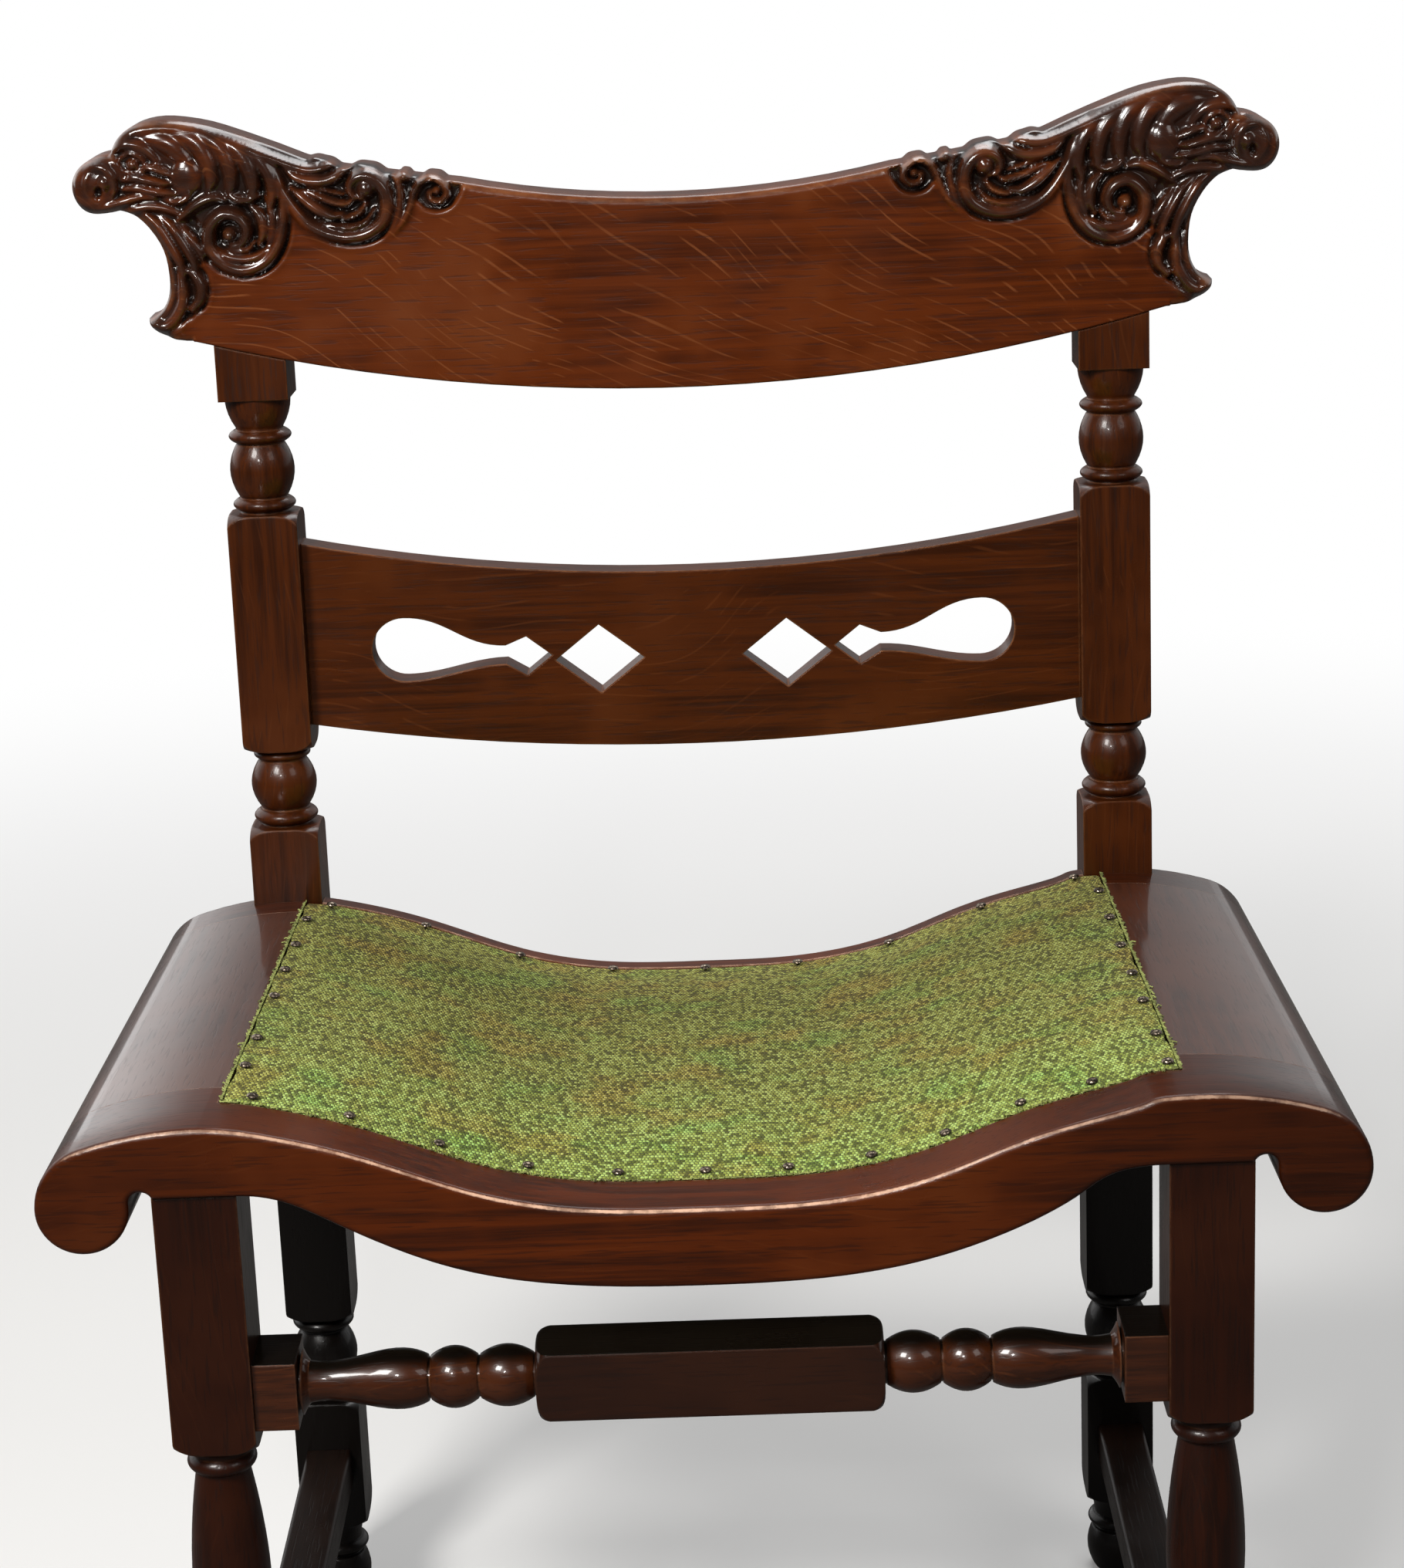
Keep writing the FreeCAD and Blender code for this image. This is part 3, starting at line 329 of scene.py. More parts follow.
leg_oak, _ = oak("leg_oak", grain_upright, Fleck_Amount=0.15, Wear=0.3, Body=(0.024, 0.0044, 0.0008, 1),
                 Deep=(0.006, 0.0016, 0.0006, 1), Fleck=(0.055, 0.014, 0.004, 1))
finish_nodes(["front_leg_left", "front_leg_right"], leg_oak)

stretcher_oak, figure = oak("stretcher_oak", grain_across, shift=(0.3, 0.1, 0.2), coat=0.5,
                            Fleck_Amount=0.3, Wear=0.3, Body=(0.058, 0.0140, 0.0036, 1),
                            Deep=(0.012, 0.0034, 0.0014, 1), Fleck=(0.16, 0.045, 0.012, 1))
tree = stretcher_oak.node_tree
upwards = split(tree, node(tree, "NewGeometry").outputs["Normal"])["Z"]
off_middle = sums(tree, "ABSOLUTE", split(tree, node(tree, "TexCoord").outputs["Object"])["X"])
block = ramp(tree, off_middle, block_reach + block_fade, block_reach, 0.0, 0.75)
tone = blend(tree, block, figure.outputs["Color"], block_stain)
# What faces up is painted near black: painted shade under the seat.
tone = blend(tree, ramp(tree, upwards, 0.55, 0.92), tone, painted_shade_black)
feed(tree.nodes["Principled BSDF"], Base_Color=tone)
finish_nodes(["front_stretcher"], stretcher_oak)

# The side stretchers' oak is painted nearly black: painted shade under the seat.
side_oak, _ = oak("side_oak", grain_to_rear, coat=0.0, specular=0.12, Fleck_Amount=0.1, Wear=0.1,
                  Body=(0.010, 0.0045, 0.0027, 1), Deep=(0.004, 0.002, 0.0015, 1),
                  Fleck=(0.02, 0.008, 0.004, 1))
finish_nodes(["side_stretcher_left", "side_stretcher_right"], side_oak)


# Back posts. Each post and its rear leg are one stick, square where the rails enter it and turned to
# rings, balls and a barrel between. Below the seat they are painted nearly black: painted shade.

black_below = 0.40
black_above = 0.46
painted_leg_shade = (0.0048, 0.0034, 0.0028, 1)

post_oak, figure = oak("post_oak", grain_upright, shift=(0.1, 0.4, 0.0), Fleck_Amount=0.2, Wear=0.35,
                       Body=(0.066, 0.0140, 0.0016, 1), Deep=(0.014, 0.0032, 0.0008, 1),
                       Fleck=(0.13, 0.036, 0.009, 1))
tree = post_oak.node_tree
# Below the seat's level the colour turns near black: painted shade.
shaded_below = ramp(tree, split(tree, node(tree, "TexCoord").outputs["Object"])["Z"], black_above, black_below)
feed(tree.nodes["Principled BSDF"], Base_Color=blend(tree, shaded_below, figure.outputs["Color"], painted_leg_shade))
finish_nodes(["back_post_left", "back_post_right"], post_oak)


# Middle rail. A bowed board, pierced with a fretsaw and let into the posts. It is quarter-sawn like the
# rest, and its face is finely mottled.

rail_oak, _ = oak("rail_oak", grain_across, ray_turn=(0, math.radians(-8), 0), shift=(0.7, 0.2, 0.1),
                  Fleck_Amount=0.35, Wear=0.8, Body=(0.074, 0.0150, 0.0012, 1),
                  Deep=(0.016, 0.0034, 0.0006, 1), Fleck=(0.135, 0.036, 0.008, 1))
finish_nodes(["middle_rail"], rail_oak)


# Crest. One thick board of quartered oak, hollow along its top and bowed below. A carver has cut each end
# to a beast's head that looks outwards, with a mane and two leaf scrolls, and has sunk the ground round
# them. The high parts are rubbed, a pale line along the top edge is partly wear and partly painted
# highlight, and the stain lies in the cuts.

# Heights over the board's face are in millimetres and spreads are in steps of the grid, here and below.
ground_level = -3.4
ground_slope = 1.3 * mm
lip_height = 0.5
lip_place = 1.2
lip_width = 0.9
chisel_softness = 0.8
thinnest_ridge = 0.1 * mm


def smooth_path(points, per_span=14):
    """Points of a curve that passes through the given points, with all their numbers carried along."""
    rows = np.array(points, float)
    rows = np.vstack([2 * rows[0] - rows[1], rows, 2 * rows[-1] - rows[-2]])
    made = []
    for a, b, c, d in zip(rows[:-3], rows[1:-2], rows[2:-1], rows[3:]):
        for t in np.linspace(0, 1, per_span, endpoint=False):
            made.append(0.5 * (2 * b + (c - a) * t + (2 * a - 5 * b + 4 * c - d) * t ** 2
                               + (3 * b - a - 3 * c + d) * t ** 3))
    made.append(rows[-2])
    return np.array(made)


def smooth_step(value):
    """A value from 0 to 1, eased at both ends."""
    value = np.clip(value, 0, 1)
    return value * value * (3 - 2 * value)


def lies_inside(x, z, loop):
    """Whether points lie inside a closed outline."""
    inside = np.zeros(x.shape, bool)
    for (x0, z0), (x1, z1) in zip(loop, np.roll(loop, -1, axis=0)):
        if z0 != z1:
            inside ^= ((z0 > z) != (z1 > z)) & (x < x0 + (z - z0) * (x1 - x0) / (z1 - z0))
    return inside


def depth_inside(x, z, loop):
    """How far each point lies inside a closed outline, less than nothing outside."""
    nearest = np.full(x.shape, np.inf)
    for (x0, z0), (x1, z1) in zip(loop, np.roll(loop, -1, axis=0)):
        t = np.clip(((x - x0) * (x1 - x0) + (z - z0) * (z1 - z0)) / ((x1 - x0) ** 2 + (z1 - z0) ** 2), 0, 1)
        nearest = np.minimum(nearest, np.hypot(x - x0 - t * (x1 - x0), z - z0 - t * (z1 - z0)))
    return np.where(lies_inside(x, z, loop), nearest, -nearest)


# The cuts, in millimetres from the chair's middle and above the floor. A ridge has places, each with its
# half width and the height of its top over the board's face, and rises from the level in front of it.
# A boss has its centre, its two radii, its turn in degrees and the heights of its rim and its middle, as
# has the head's bulk, and a pit has its depth instead. The last list is the outline of the sunk ground.

head_ridges = [
    (-2.5, [(297, 858, 2.4, 1.6), (292, 863.5, 4.2, 2.6), (284, 866, 4.2, 2.8), (272, 866.8, 4.0, 2.6),
     (260, 866, 3.8, 2.6), (248, 862.8, 3.4, 2.6), (236, 858.2, 3.0, 2.6), (226, 854, 2.8, 2.6),
     (214, 849, 2.6, 2.6), (203, 844.6, 2.6, 2.8), (194, 842, 2.8, 3.0), (186, 842.8, 2.6, 2.8),
     (178, 845.8, 1.6, 1.6)]),
    (0.4, [(299, 855, 1.4, 2.6), (292, 858.6, 3.0, 5.0), (284.5, 858.6, 3.4, 5.2), (278, 855, 3.0, 4.6),
     (273, 849, 1.8, 3.0)]),
    (0.4, [(293, 852, 0.9, 3.0), (287.5, 854.4, 1.7, 5.0), (282, 852.2, 1.7, 4.8),
     (279.3, 847.5, 1.0, 3.4)]),
    (0.4, [(292.5, 846.2, 0.9, 3.0), (287, 843.4, 1.6, 4.6), (281.6, 844.4, 1.5, 4.4),
     (278, 847.8, 0.9, 3.0)]),
    (0.0, [(308, 853, 1.8, 2.6), (300.5, 852.2, 3.2, 4.6), (295, 848.6, 2.8, 4.4),
     (292.4, 841, 2.0, 3.2)]),
    (2.0, [(313, 845.6, 1.4, 4.0), (307.5, 848.6, 2.6, 6.0), (301.4, 847.2, 3.0, 6.8),
     (297.6, 842.4, 2.8, 6.8), (297, 836, 2.0, 5.4), (299, 831, 1.0, 3.8)]),
    (1.0, [(309.6, 851, 1.0, 3.0), (315, 846, 1.7, 4.2), (317.4, 839, 1.8, 4.4), (316.4, 831, 1.7, 4.0),
     (311.5, 826, 1.0, 3.0)]),
    (2.0, [(308.8, 846, 1.0, 4.6), (311.8, 841.5, 1.8, 6.0), (311.6, 834.6, 1.8, 5.8),
     (307.6, 829, 1.0, 4.4)]),
    (-1.5, [(310, 825.8, 1.6, 2.4), (301, 826.6, 3.0, 4.6), (292, 829.6, 3.2, 5.0),
     (283.6, 831.4, 2.6, 4.4), (275.6, 830.2, 1.4, 2.8)]),
    (-2.0, [(300, 823.2, 1.0, 0.8), (290.6, 824.4, 2.8, 2.8), (281.6, 826, 2.8, 3.6),
     (273, 825.4, 2.6, 3.6), (265.6, 822.6, 2.2, 3.2), (260.6, 819, 1.0, 1.0)]),
    (0.0, [(292, 840.3, 1.2, 3.4), (285.6, 841.4, 2.8, 5.6), (278, 839.8, 2.8, 5.8), (271, 838, 2.2, 5.0),
     (265, 838.4, 1.0, 3.0)]),
    (0.4, [(284, 845.6, 1.0, 3.0), (277.4, 846.6, 2.3, 5.6), (270.5, 844.2, 2.3, 5.6),
     (264.4, 841.4, 1.1, 3.6)]),
    (-0.5, [(292.6, 835.6, 1.2, 3.2), (285, 836.2, 2.6, 5.0), (277, 834.2, 2.5, 5.2),
     (269, 832.8, 2.2, 4.6), (261.6, 832, 1.2, 2.6)]),
    (-0.5, [(283, 862, 2.0, 1.6), (273, 860.4, 5.0, 3.6), (265, 856.6, 6.0, 4.2), (259, 850.6, 4.4, 3.8)]),
]
mane_ridges = [
    (0.6, [(270, 863.4, 1.0, 1.2), (260, 862, 4.0, 3.2), (251.8, 857, 5.0, 4.2), (247, 848.6, 5.0, 4.8),
     (245.4, 839.6, 3.8, 4.4), (247.6, 832.5, 1.4, 2.0)]),
    (0.6, [(257, 863.5, 1.0, 1.2), (247, 860.4, 3.6, 3.2), (239.6, 854, 4.6, 4.2), (236, 845.4, 4.6, 4.6),
     (235.4, 836, 3.4, 4.2), (238, 829.6, 1.2, 2.0)]),
    (0.6, [(244, 860, 1.0, 1.2), (234, 855.5, 3.4, 3.0), (227.6, 848.5, 4.4, 3.8), (224.4, 840, 4.2, 4.2),
     (224, 832, 3.0, 3.8), (226.4, 826.4, 1.0, 1.8)]),
    (0.0, [(233, 855.4, 1.0, 1.0), (223.5, 851, 2.8, 2.4), (217, 844.2, 3.8, 3.2), (214, 836, 3.6, 3.4),
     (214.2, 827.6, 2.6, 2.8), (216.4, 820, 0.8, 1.2)]),
    (-1.0, [(238.6, 833, 1.1, 2.4), (233, 828.4, 2.9, 5.2), (226.6, 827.4, 2.2, 4.4),
     (221, 829.6, 1.0, 2.2)]),
    (-2.4, [(265.6, 817.5, 0.9, 1.6), (259.4, 822.6, 2.8, 4.2), (252.6, 827, 3.3, 5.0),
     (245.4, 829.4, 3.1, 4.8), (238.6, 827.6, 1.3, 2.8)]),
    (-1.6, [(272, 830, 0.9, 2.2), (265.4, 828, 2.3, 4.2), (259.4, 829.6, 2.1, 4.0), (254, 834, 1.0, 2.4)]),
]
neck_ridges = [
    (-2.6, [(295, 822.5, 1.0, -1.0), (287, 819.2, 3.2, 1.6), (280, 811.6, 3.6, 2.0),
     (274.8, 801, 3.6, 2.0), (271.8, 789, 3.4, 1.8), (271.8, 778, 3.2, 1.8), (276, 769.4, 2.8, 1.8),
     (282.5, 765.2, 1.8, 1.0)]),
    (-2.6, [(285, 823.4, 1.0, 0.8), (277, 817.6, 2.9, 3.8), (270.4, 807, 3.5, 4.6),
     (265.6, 796.4, 3.1, 4.2), (263.4, 787, 1.4, 2.0)]),
    (-2.6, [(275, 821.4, 1.0, 0.8), (268.4, 815, 2.7, 3.8), (262.4, 805.4, 3.3, 4.6),
     (258.2, 796.4, 2.9, 4.0), (257, 789, 1.2, 1.8)]),
    (-2.8, [(264.6, 816.6, 0.9, 0.8), (259, 809, 2.4, 3.2), (254.4, 801.6, 2.6, 3.6),
     (252.6, 794.6, 1.2, 1.6)]),
    (-3.0, [(263.4, 793, 1.2, 1.4), (258, 789, 3.4, 3.4), (255, 782.6, 3.9, 4.0), (256.2, 775.6, 3.3, 3.8),
     (260.8, 770.8, 2.3, 3.6)]),
    (-3.0, [(267, 794, 1.2, 1.2), (265, 783, 3.5, 3.2), (266, 773.6, 3.8, 3.4), (271, 765.4, 3.9, 3.2),
     (277, 761.8, 3.6, 3.0), (282.4, 763.4, 2.4, 2.0)]),
    (-3.0, [(262.6, 766.6, 0.8, 0.4), (267, 761.2, 2.0, 1.8), (273.6, 757.2, 1.6, 1.0)]),
]
scroll_ridges = [
    (-3.4, [(213, 847, 1.6, 1.0), (209.2, 835, 2.8, 2.6), (208.6, 820, 3.2, 3.0), (211.8, 806, 3.5, 3.4),
     (219.6, 795, 3.8, 3.8), (231, 790.8, 4.0, 4.2), (242.2, 794.4, 4.1, 4.4), (248.8, 803.4, 4.2, 4.8),
     (248.2, 813.6, 4.2, 5.0), (241.2, 820.4, 4.1, 5.0), (233, 819, 3.8, 5.0), (228.6, 812, 3.3, 4.8),
     (231.2, 805.2, 2.6, 4.2), (237.4, 803.8, 1.8, 3.2)]),
    (-3.0, [(227.6, 826, 1.0, 1.4), (221.6, 820, 3.2, 4.0), (219.6, 811.6, 3.3, 4.4),
     (222.4, 803.4, 1.4, 2.4)]),
    (-3.2, [(218, 829.6, 0.8, 1.0), (214.8, 820, 2.4, 2.8), (215, 811, 2.4, 2.8), (218.4, 803, 1.0, 1.8)]),
    (-3.0, [(246, 803.4, 1.0, 1.2), (240.8, 798.8, 2.4, 3.6), (233, 796.6, 2.9, 4.4),
     (224.6, 797.6, 2.8, 4.2), (217.8, 802, 1.4, 2.4)]),
    (-3.0, [(240.6, 802, 0.9, 1.4), (234.6, 800.8, 2.0, 3.6), (228.2, 801.8, 1.9, 3.4),
     (225, 806, 1.0, 2.0)]),
    (-3.4, [(223, 851.5, 1.0, 1.0), (214.6, 842, 2.6, 2.6), (209.2, 833, 2.9, 2.8), (203.4, 823, 3.4, 3.4),
     (196, 814.2, 3.8, 4.0), (186, 808.6, 4.0, 4.4), (175, 806.2, 4.0, 4.6), (164.4, 807.8, 4.1, 4.8),
     (156.4, 813.4, 4.3, 5.0), (153, 822, 4.5, 5.2), (154.6, 831, 4.5, 5.4), (161, 837.4, 4.2, 5.4),
     (168.4, 837.4, 3.6, 5.2), (172.4, 832.8, 2.9, 4.6), (170.8, 827.6, 2.3, 3.6),
     (165.6, 825.8, 1.6, 2.4)]),
    (-3.0, [(207.6, 844, 0.9, 1.2), (200.8, 838.6, 2.9, 4.4), (192.6, 836.2, 3.7, 5.0),
     (184.6, 836.4, 3.7, 4.8), (177.6, 839.4, 2.9, 4.2), (172.6, 844, 1.4, 2.4)]),
    (-3.0, [(204.4, 833.4, 0.9, 1.6), (197, 826.8, 3.3, 4.4), (189.6, 821, 3.9, 5.4),
     (182.6, 817.4, 3.0, 4.6), (177, 818.6, 1.0, 2.0)]),
    (-3.0, [(199, 832.4, 0.8, 1.4), (190.6, 828.8, 2.3, 3.8), (182.6, 825, 2.5, 4.2),
     (175.4, 823.4, 2.1, 3.6), (170.6, 825.4, 0.9, 1.8)]),
    (-3.0, [(195, 832.8, 0.6, 1.0), (187, 831.6, 1.6, 2.8), (180.4, 829.4, 1.6, 3.0),
     (175.6, 828.4, 0.8, 1.6)]),
    (-3.0, [(190, 814.6, 0.8, 1.4), (181.4, 812, 2.1, 3.8), (172, 811.4, 2.3, 4.2), (164.6, 814, 1.9, 3.8),
     (160, 820, 0.9, 1.8)]),
    (-3.0, [(181, 816, 0.7, 1.4), (174, 816.2, 1.9, 3.6), (168, 818.6, 1.9, 3.6),
     (164.4, 823.6, 1.0, 2.0)]),
    (-3.2, [(149.6, 839.6, 1.0, 1.2), (146.2, 831.6, 2.4, 2.6), (146.4, 821.6, 2.6, 2.8),
     (150.2, 811.6, 2.0, 2.2), (156, 804.6, 1.0, 0.6)]),
    (-3.2, [(152.6, 805, 0.8, 0.4), (146, 812.6, 1.9, 2.2), (141.4, 820.6, 2.1, 3.0),
     (138.2, 828.8, 2.2, 3.4), (134, 834, 2.3, 3.8), (128, 835.2, 2.3, 4.0), (122.8, 832.2, 2.3, 4.0),
     (121.2, 827, 2.2, 4.0), (124.8, 823, 2.0, 4.0), (129.4, 823.8, 1.7, 3.8), (130.4, 827.8, 1.3, 3.2)]),
    (-3.0, [(121, 835.4, 0.8, 1.0), (116.8, 833, 1.6, 2.0), (112, 832.4, 0.9, 0.4)]),
]
bosses = [
    (308, 838, 14, 16.5, 0, -3.4, 5.0), (302.4, 839.6, 4.0, 4.8, 0, 2.0, 7.4),
    (292.4, 861.6, 7, 6.6, 0, 0.0, 4.4), (286.4, 848.6, 3.7, 3.5, 0, 0.5, 5.6),
    (258.4, 841, 8.8, 10.4, 0, 0.8, 5.4), (280, 763.4, 4.8, 3.8, 20, -3.4, 3.4),
    (260.4, 771, 2.8, 2.6, 0, -3.4, 4.0), (238.2, 809.4, 4.2, 4.2, 0, -3.4, 4.6),
    (164.2, 831.4, 5.8, 5.8, 0, -3.4, 5.6), (143.4, 837, 3.6, 3.6, 0, -3.4, 4.4),
    (126.6, 828.6, 2.5, 2.5, 0, -3.4, 4.0),
]
head_bulk = (270, 846, 52, 34, 0, ground_level, 1.2)
pits = [(305.6, 834.6, 2.0, 3.4, 14, 4.0), (257.4, 816.6, 3.4, 3.6, 0, 2.0), (243.6, 808.6, 2.0, 4.4, 0, 2.0)]
ornament_edge = [
    (340, 740), (276, 752), (269.6, 757.6), (264.6, 762.6), (259.6, 767.6), (253.6, 771.6), (250.4, 780),
    (251.6, 789), (254.6, 793.6), (250.6, 795), (245, 790.2), (237, 786.8), (229, 786), (219.6, 788.4),
    (211.6, 795), (206.4, 805), (204.8, 815), (205.2, 822.4), (200.6, 816.6), (193.6, 808.2), (184.6, 803.2),
    (174, 801.2), (163, 802.2), (154, 806.6), (147.4, 811.4), (141.4, 818.6), (137.6, 823.4), (133.6, 819.4),
    (126.6, 817.6), (119.6, 819.6), (114.8, 825.6), (112.4, 831), (109.6, 836), (112, 880), (340, 880)]


def lay_ridge(heights, across, up, level, points):
    """The heights with one rounded ridge laid over them."""
    path = smooth_path([(u * mm, z * mm, w * mm, t) for u, z, w, t in points])
    reach = path[:, 2].max()
    near = ((across > path[:, 0].min() - reach) & (across < path[:, 0].max() + reach)
            & (up > path[:, 1].min() - reach) & (up < path[:, 1].max() + reach))
    x, z = across[near], up[near]
    best = np.full(x.shape, -np.inf)
    for u, v, w, top in path:
        share = 1 - ((x - u) ** 2 + (z - v) ** 2) / max(w, thinnest_ridge) ** 2
        made = np.where(share > 0, level + (top - level) * np.sqrt(np.clip(share, 0, 1)), -np.inf)
        best = np.maximum(best, made)
    heights[near] = np.maximum(heights[near], best)


def boss_share(across, up, place):
    """How high a round boss stands at each point, from 0 at its rim to 1 at its middle."""
    u, z, wide, tall, turn = place[:5]
    c, s = math.cos(math.radians(turn)), math.sin(math.radians(turn))
    a = ((across - u * mm) * c + (up - z * mm) * s) / (wide * mm)
    b = ((up - z * mm) * c - (across - u * mm) * s) / (tall * mm)
    return np.sqrt(np.clip(1 - a ** 2 - b ** 2, 0, 1))


def spread_out(field, reach):
    """A grid of values with each one spread over its neighbours."""
    steps = int(math.ceil(3 * reach))
    weights = np.exp(-0.5 * (np.arange(-steps, steps + 1) / reach) ** 2)
    weights /= weights.sum()
    padded = np.pad(field, steps, mode="edge")
    across = sum(w * padded[:, k:k + padded.shape[1] - 2 * steps] for k, w in enumerate(weights))
    return sum(w * across[k:k + field.shape[0]] for k, w in enumerate(weights))


def ornament_depth(across, up):
    """How far each point lies inside the carved ground."""
    border = smooth_path([(u, z) for u, z in ornament_edge[1:-2]], 5) * mm
    border = np.vstack([border, np.array(ornament_edge[-2:] + ornament_edge[:1]) * mm])
    return depth_inside(across, up, border)


def carved_face(across, up):
    """The height of the carved face over the plain board at each point of a grid, in millimetres."""
    depth = ornament_depth(across, up)
    heights = np.where(depth > 0, ground_level * smooth_step(depth / ground_slope), 0)
    low, high = head_bulk[5:]
    head_mass = low + (high - low) * boss_share(across, up, head_bulk)
    heights = np.where(depth > 0, np.maximum(heights, head_mass), heights)
    for ridges in (mane_ridges, neck_ridges, scroll_ridges, head_ridges):
        for level, places in ridges:
            lay_ridge(heights, across, up, level, places)
    for boss in bosses:
        share = boss_share(across, up, boss)
        low, high = boss[5:]
        heights = np.where(share > 0, np.maximum(heights, low + (high - low) * share), heights)
    for pit in pits:
        heights -= pit[5] * smooth_step(boss_share(across, up, pit))
    heights += lip_height * np.exp(-((depth / mm + lip_place) / lip_width) ** 2) * (depth < 0)
    return spread_out(heights, chisel_softness)


# The board. Its face is a fine grid of the carved heights, its rim is rounded in rings along the outline,
# and its flat back is bevelled. Values for the rub with its painted highlight line, and for the stain, are
# kept at each point.

weld_gap = 0.02 * mm
flat_turn = math.radians(0.2)
same_plane = 0.01 * mm
carve_step = 0.9 * mm
grid_margin = 3
outline_step = 1.0 * mm
rim_width = 2.8 * mm
rim_gaps = np.array([0, 0.22, 0.6, 1.1, 1.8]) * mm
rim_share = 0.85
leaf_tops = [(187, 9.0, 2.6), (164, 10.0, 3.0), (144, 4.0, 2.2), (128.5, 7.0, 2.6)]
rounding_places = np.array([110, 130, 190, 215, 262, 290, 300])
rounding_sizes = np.array([4.0, 3.0, 3.4, 5.0, 5.0, 5.0, 7.0])
rounding_reach = 9 * mm
far_rounding = 1.0 * mm
bottom_rounding = 1.4 * mm
back_bevel = 1.5 * mm
back_sides = 50
low_edge_band = 40 * mm
plain_bottom_end = 262 * mm
top_edge_share = 0.62
stain_spread = 3
stain_depth = 1.6
rubbed_share = 0.3
edge_line_place = 1.6
edge_line_width = 1.2
edge_wear_and_highlight_share = 0.7
carved_fade = 2.0 * mm
fill_tolerance = 1e-7
carving_stain = (0.020, 0.0080, 0.0050, 1)
carving_polish = 0.13
carving_coat = 0.75
board_coat = 0.1


def select_only(piece):
    """One piece active and selected, and nothing else."""
    bpy.ops.object.select_all(action="DESELECT")
    bpy.context.view_layer.objects.active = piece
    piece.select_set(True)


def new_piece(title, mesh):
    """A piece with its mesh, and with nothing else selected."""
    piece = bpy.data.objects.new(title, mesh)
    bpy.context.scene.collection.objects.link(piece)
    select_only(piece)
    return piece


def merged_copy(name, title):
    """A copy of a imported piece, with its loose triangles joined and its flat faces made whole."""
    copy = new_piece(title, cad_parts[name].data.copy())
    bpy.ops.object.mode_set(mode="EDIT")
    bpy.ops.mesh.customdata_custom_splitnormals_clear()
    bpy.ops.mesh.select_all(action="SELECT")
    bpy.ops.mesh.remove_doubles(threshold=weld_gap)
    bpy.ops.mesh.dissolve_limited(angle_limit=flat_turn)
    bpy.ops.mesh.select_all(action="DESELECT")
    bpy.ops.object.mode_set(mode="OBJECT")
    return copy


def face_outwards(smooth_degrees):
    """The active piece with its faces turned outwards, shaded smooth where they meet below an angle."""
    bpy.ops.object.mode_set(mode="EDIT")
    bpy.ops.mesh.select_all(action="SELECT")
    bpy.ops.mesh.normals_make_consistent(inside=False)
    bpy.ops.mesh.select_all(action="DESELECT")
    bpy.ops.object.mode_set(mode="OBJECT")
    bpy.ops.object.shade_smooth_by_angle(angle=math.radians(smooth_degrees))


def dress(piece, material, slot, *names):
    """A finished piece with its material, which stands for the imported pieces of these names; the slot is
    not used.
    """
    piece.data.materials.clear()
    piece.data.materials.append(material)
    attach(piece, "root")
    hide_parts(*names)


def edge_rounding(loop):
    """How far the board's edge is rounded at each place of its outline."""
    across = np.abs(loop[:, 0])
    low = (loop[:, 1] < crest_low.z + low_edge_band) & (across < plain_bottom_end)
    rounding = np.interp(across, rounding_places * mm, rounding_sizes * mm)
    return np.where(low, bottom_rounding, rounding)


def leafy_outline(face_loop):
    """The outline of the board's face at an even spacing, with the tops of the leaves standing over it."""
    made = []
    for a, b in zip(face_loop, np.roll(face_loop, -1, axis=0)):
        count = max(1, round(float(np.hypot(*(b - a))) / outline_step))
        made += [a + (b - a) * k / count for k in range(count)]
    made = np.array(made)
    on_top = made[:, 1] > crest_low.z + top_edge_share * (crest_high.z - crest_low.z)
    for place, half, rise in leaf_tops:
        share = 1 - ((np.abs(made[:, 0]) - place * mm) / (half * mm)) ** 2
        made[:, 1] += np.where(on_top, rise * mm * smooth_step(share), 0)
    return made


def near_outline(loop, marks, reach):
    """The gap from each grid point to the outline, up to a reach, and what the nearest edge carries."""
    gaps = np.full((len(rows), len(columns)), reach)
    carried = np.full(gaps.shape, far_rounding)
    for a, b, mark in zip(loop, np.roll(loop, -1, axis=0), marks):
        i0, i1 = np.searchsorted(columns, [min(a[0], b[0]) - reach, max(a[0], b[0]) + reach])
        j0, j1 = np.searchsorted(rows, [min(a[1], b[1]) - reach, max(a[1], b[1]) + reach])
        u, v = np.meshgrid(columns[i0:i1] - a[0], rows[j0:j1] - a[1])
        run = b - a
        t = np.clip((u * run[0] + v * run[1]) / np.dot(run, run), 0, 1)
        gap = np.hypot(u - t * run[0], v - t * run[1])
        closer = gap < gaps[j0:j1, i0:i1]
        carried[j0:j1, i0:i1][closer] = mark
        gaps[j0:j1, i0:i1][closer] = gap[closer]
    return gaps, carried


def rounded_off(gap, rounding):
    """How far a rounded edge falls back at a distance from it."""
    over = np.clip(rounding - gap, 0, None)
    return rounding - np.sqrt(np.clip(rounding ** 2 - over ** 2, 0, None))


def read_grid(field, across, up):
    """A grid's values at places between its points."""
    a = np.clip((across - columns[0]) / carve_step, 0, len(columns) - 1.001)
    b = np.clip((up - rows[0]) / carve_step, 0, len(rows) - 1.001)
    i, j = a.astype(int), b.astype(int)
    a, b = a - i, b - j
    low = field[j, i] * (1 - a) + field[j, i + 1] * a
    high = field[j + 1, i] * (1 - a) + field[j + 1, i + 1] * a
    return low * (1 - b) + high * b


def face_y(face, z):
    """Where a flat face of the board lies at a height."""
    return face.center.y - (z - face.center.z) * face.normal.z / face.normal.y


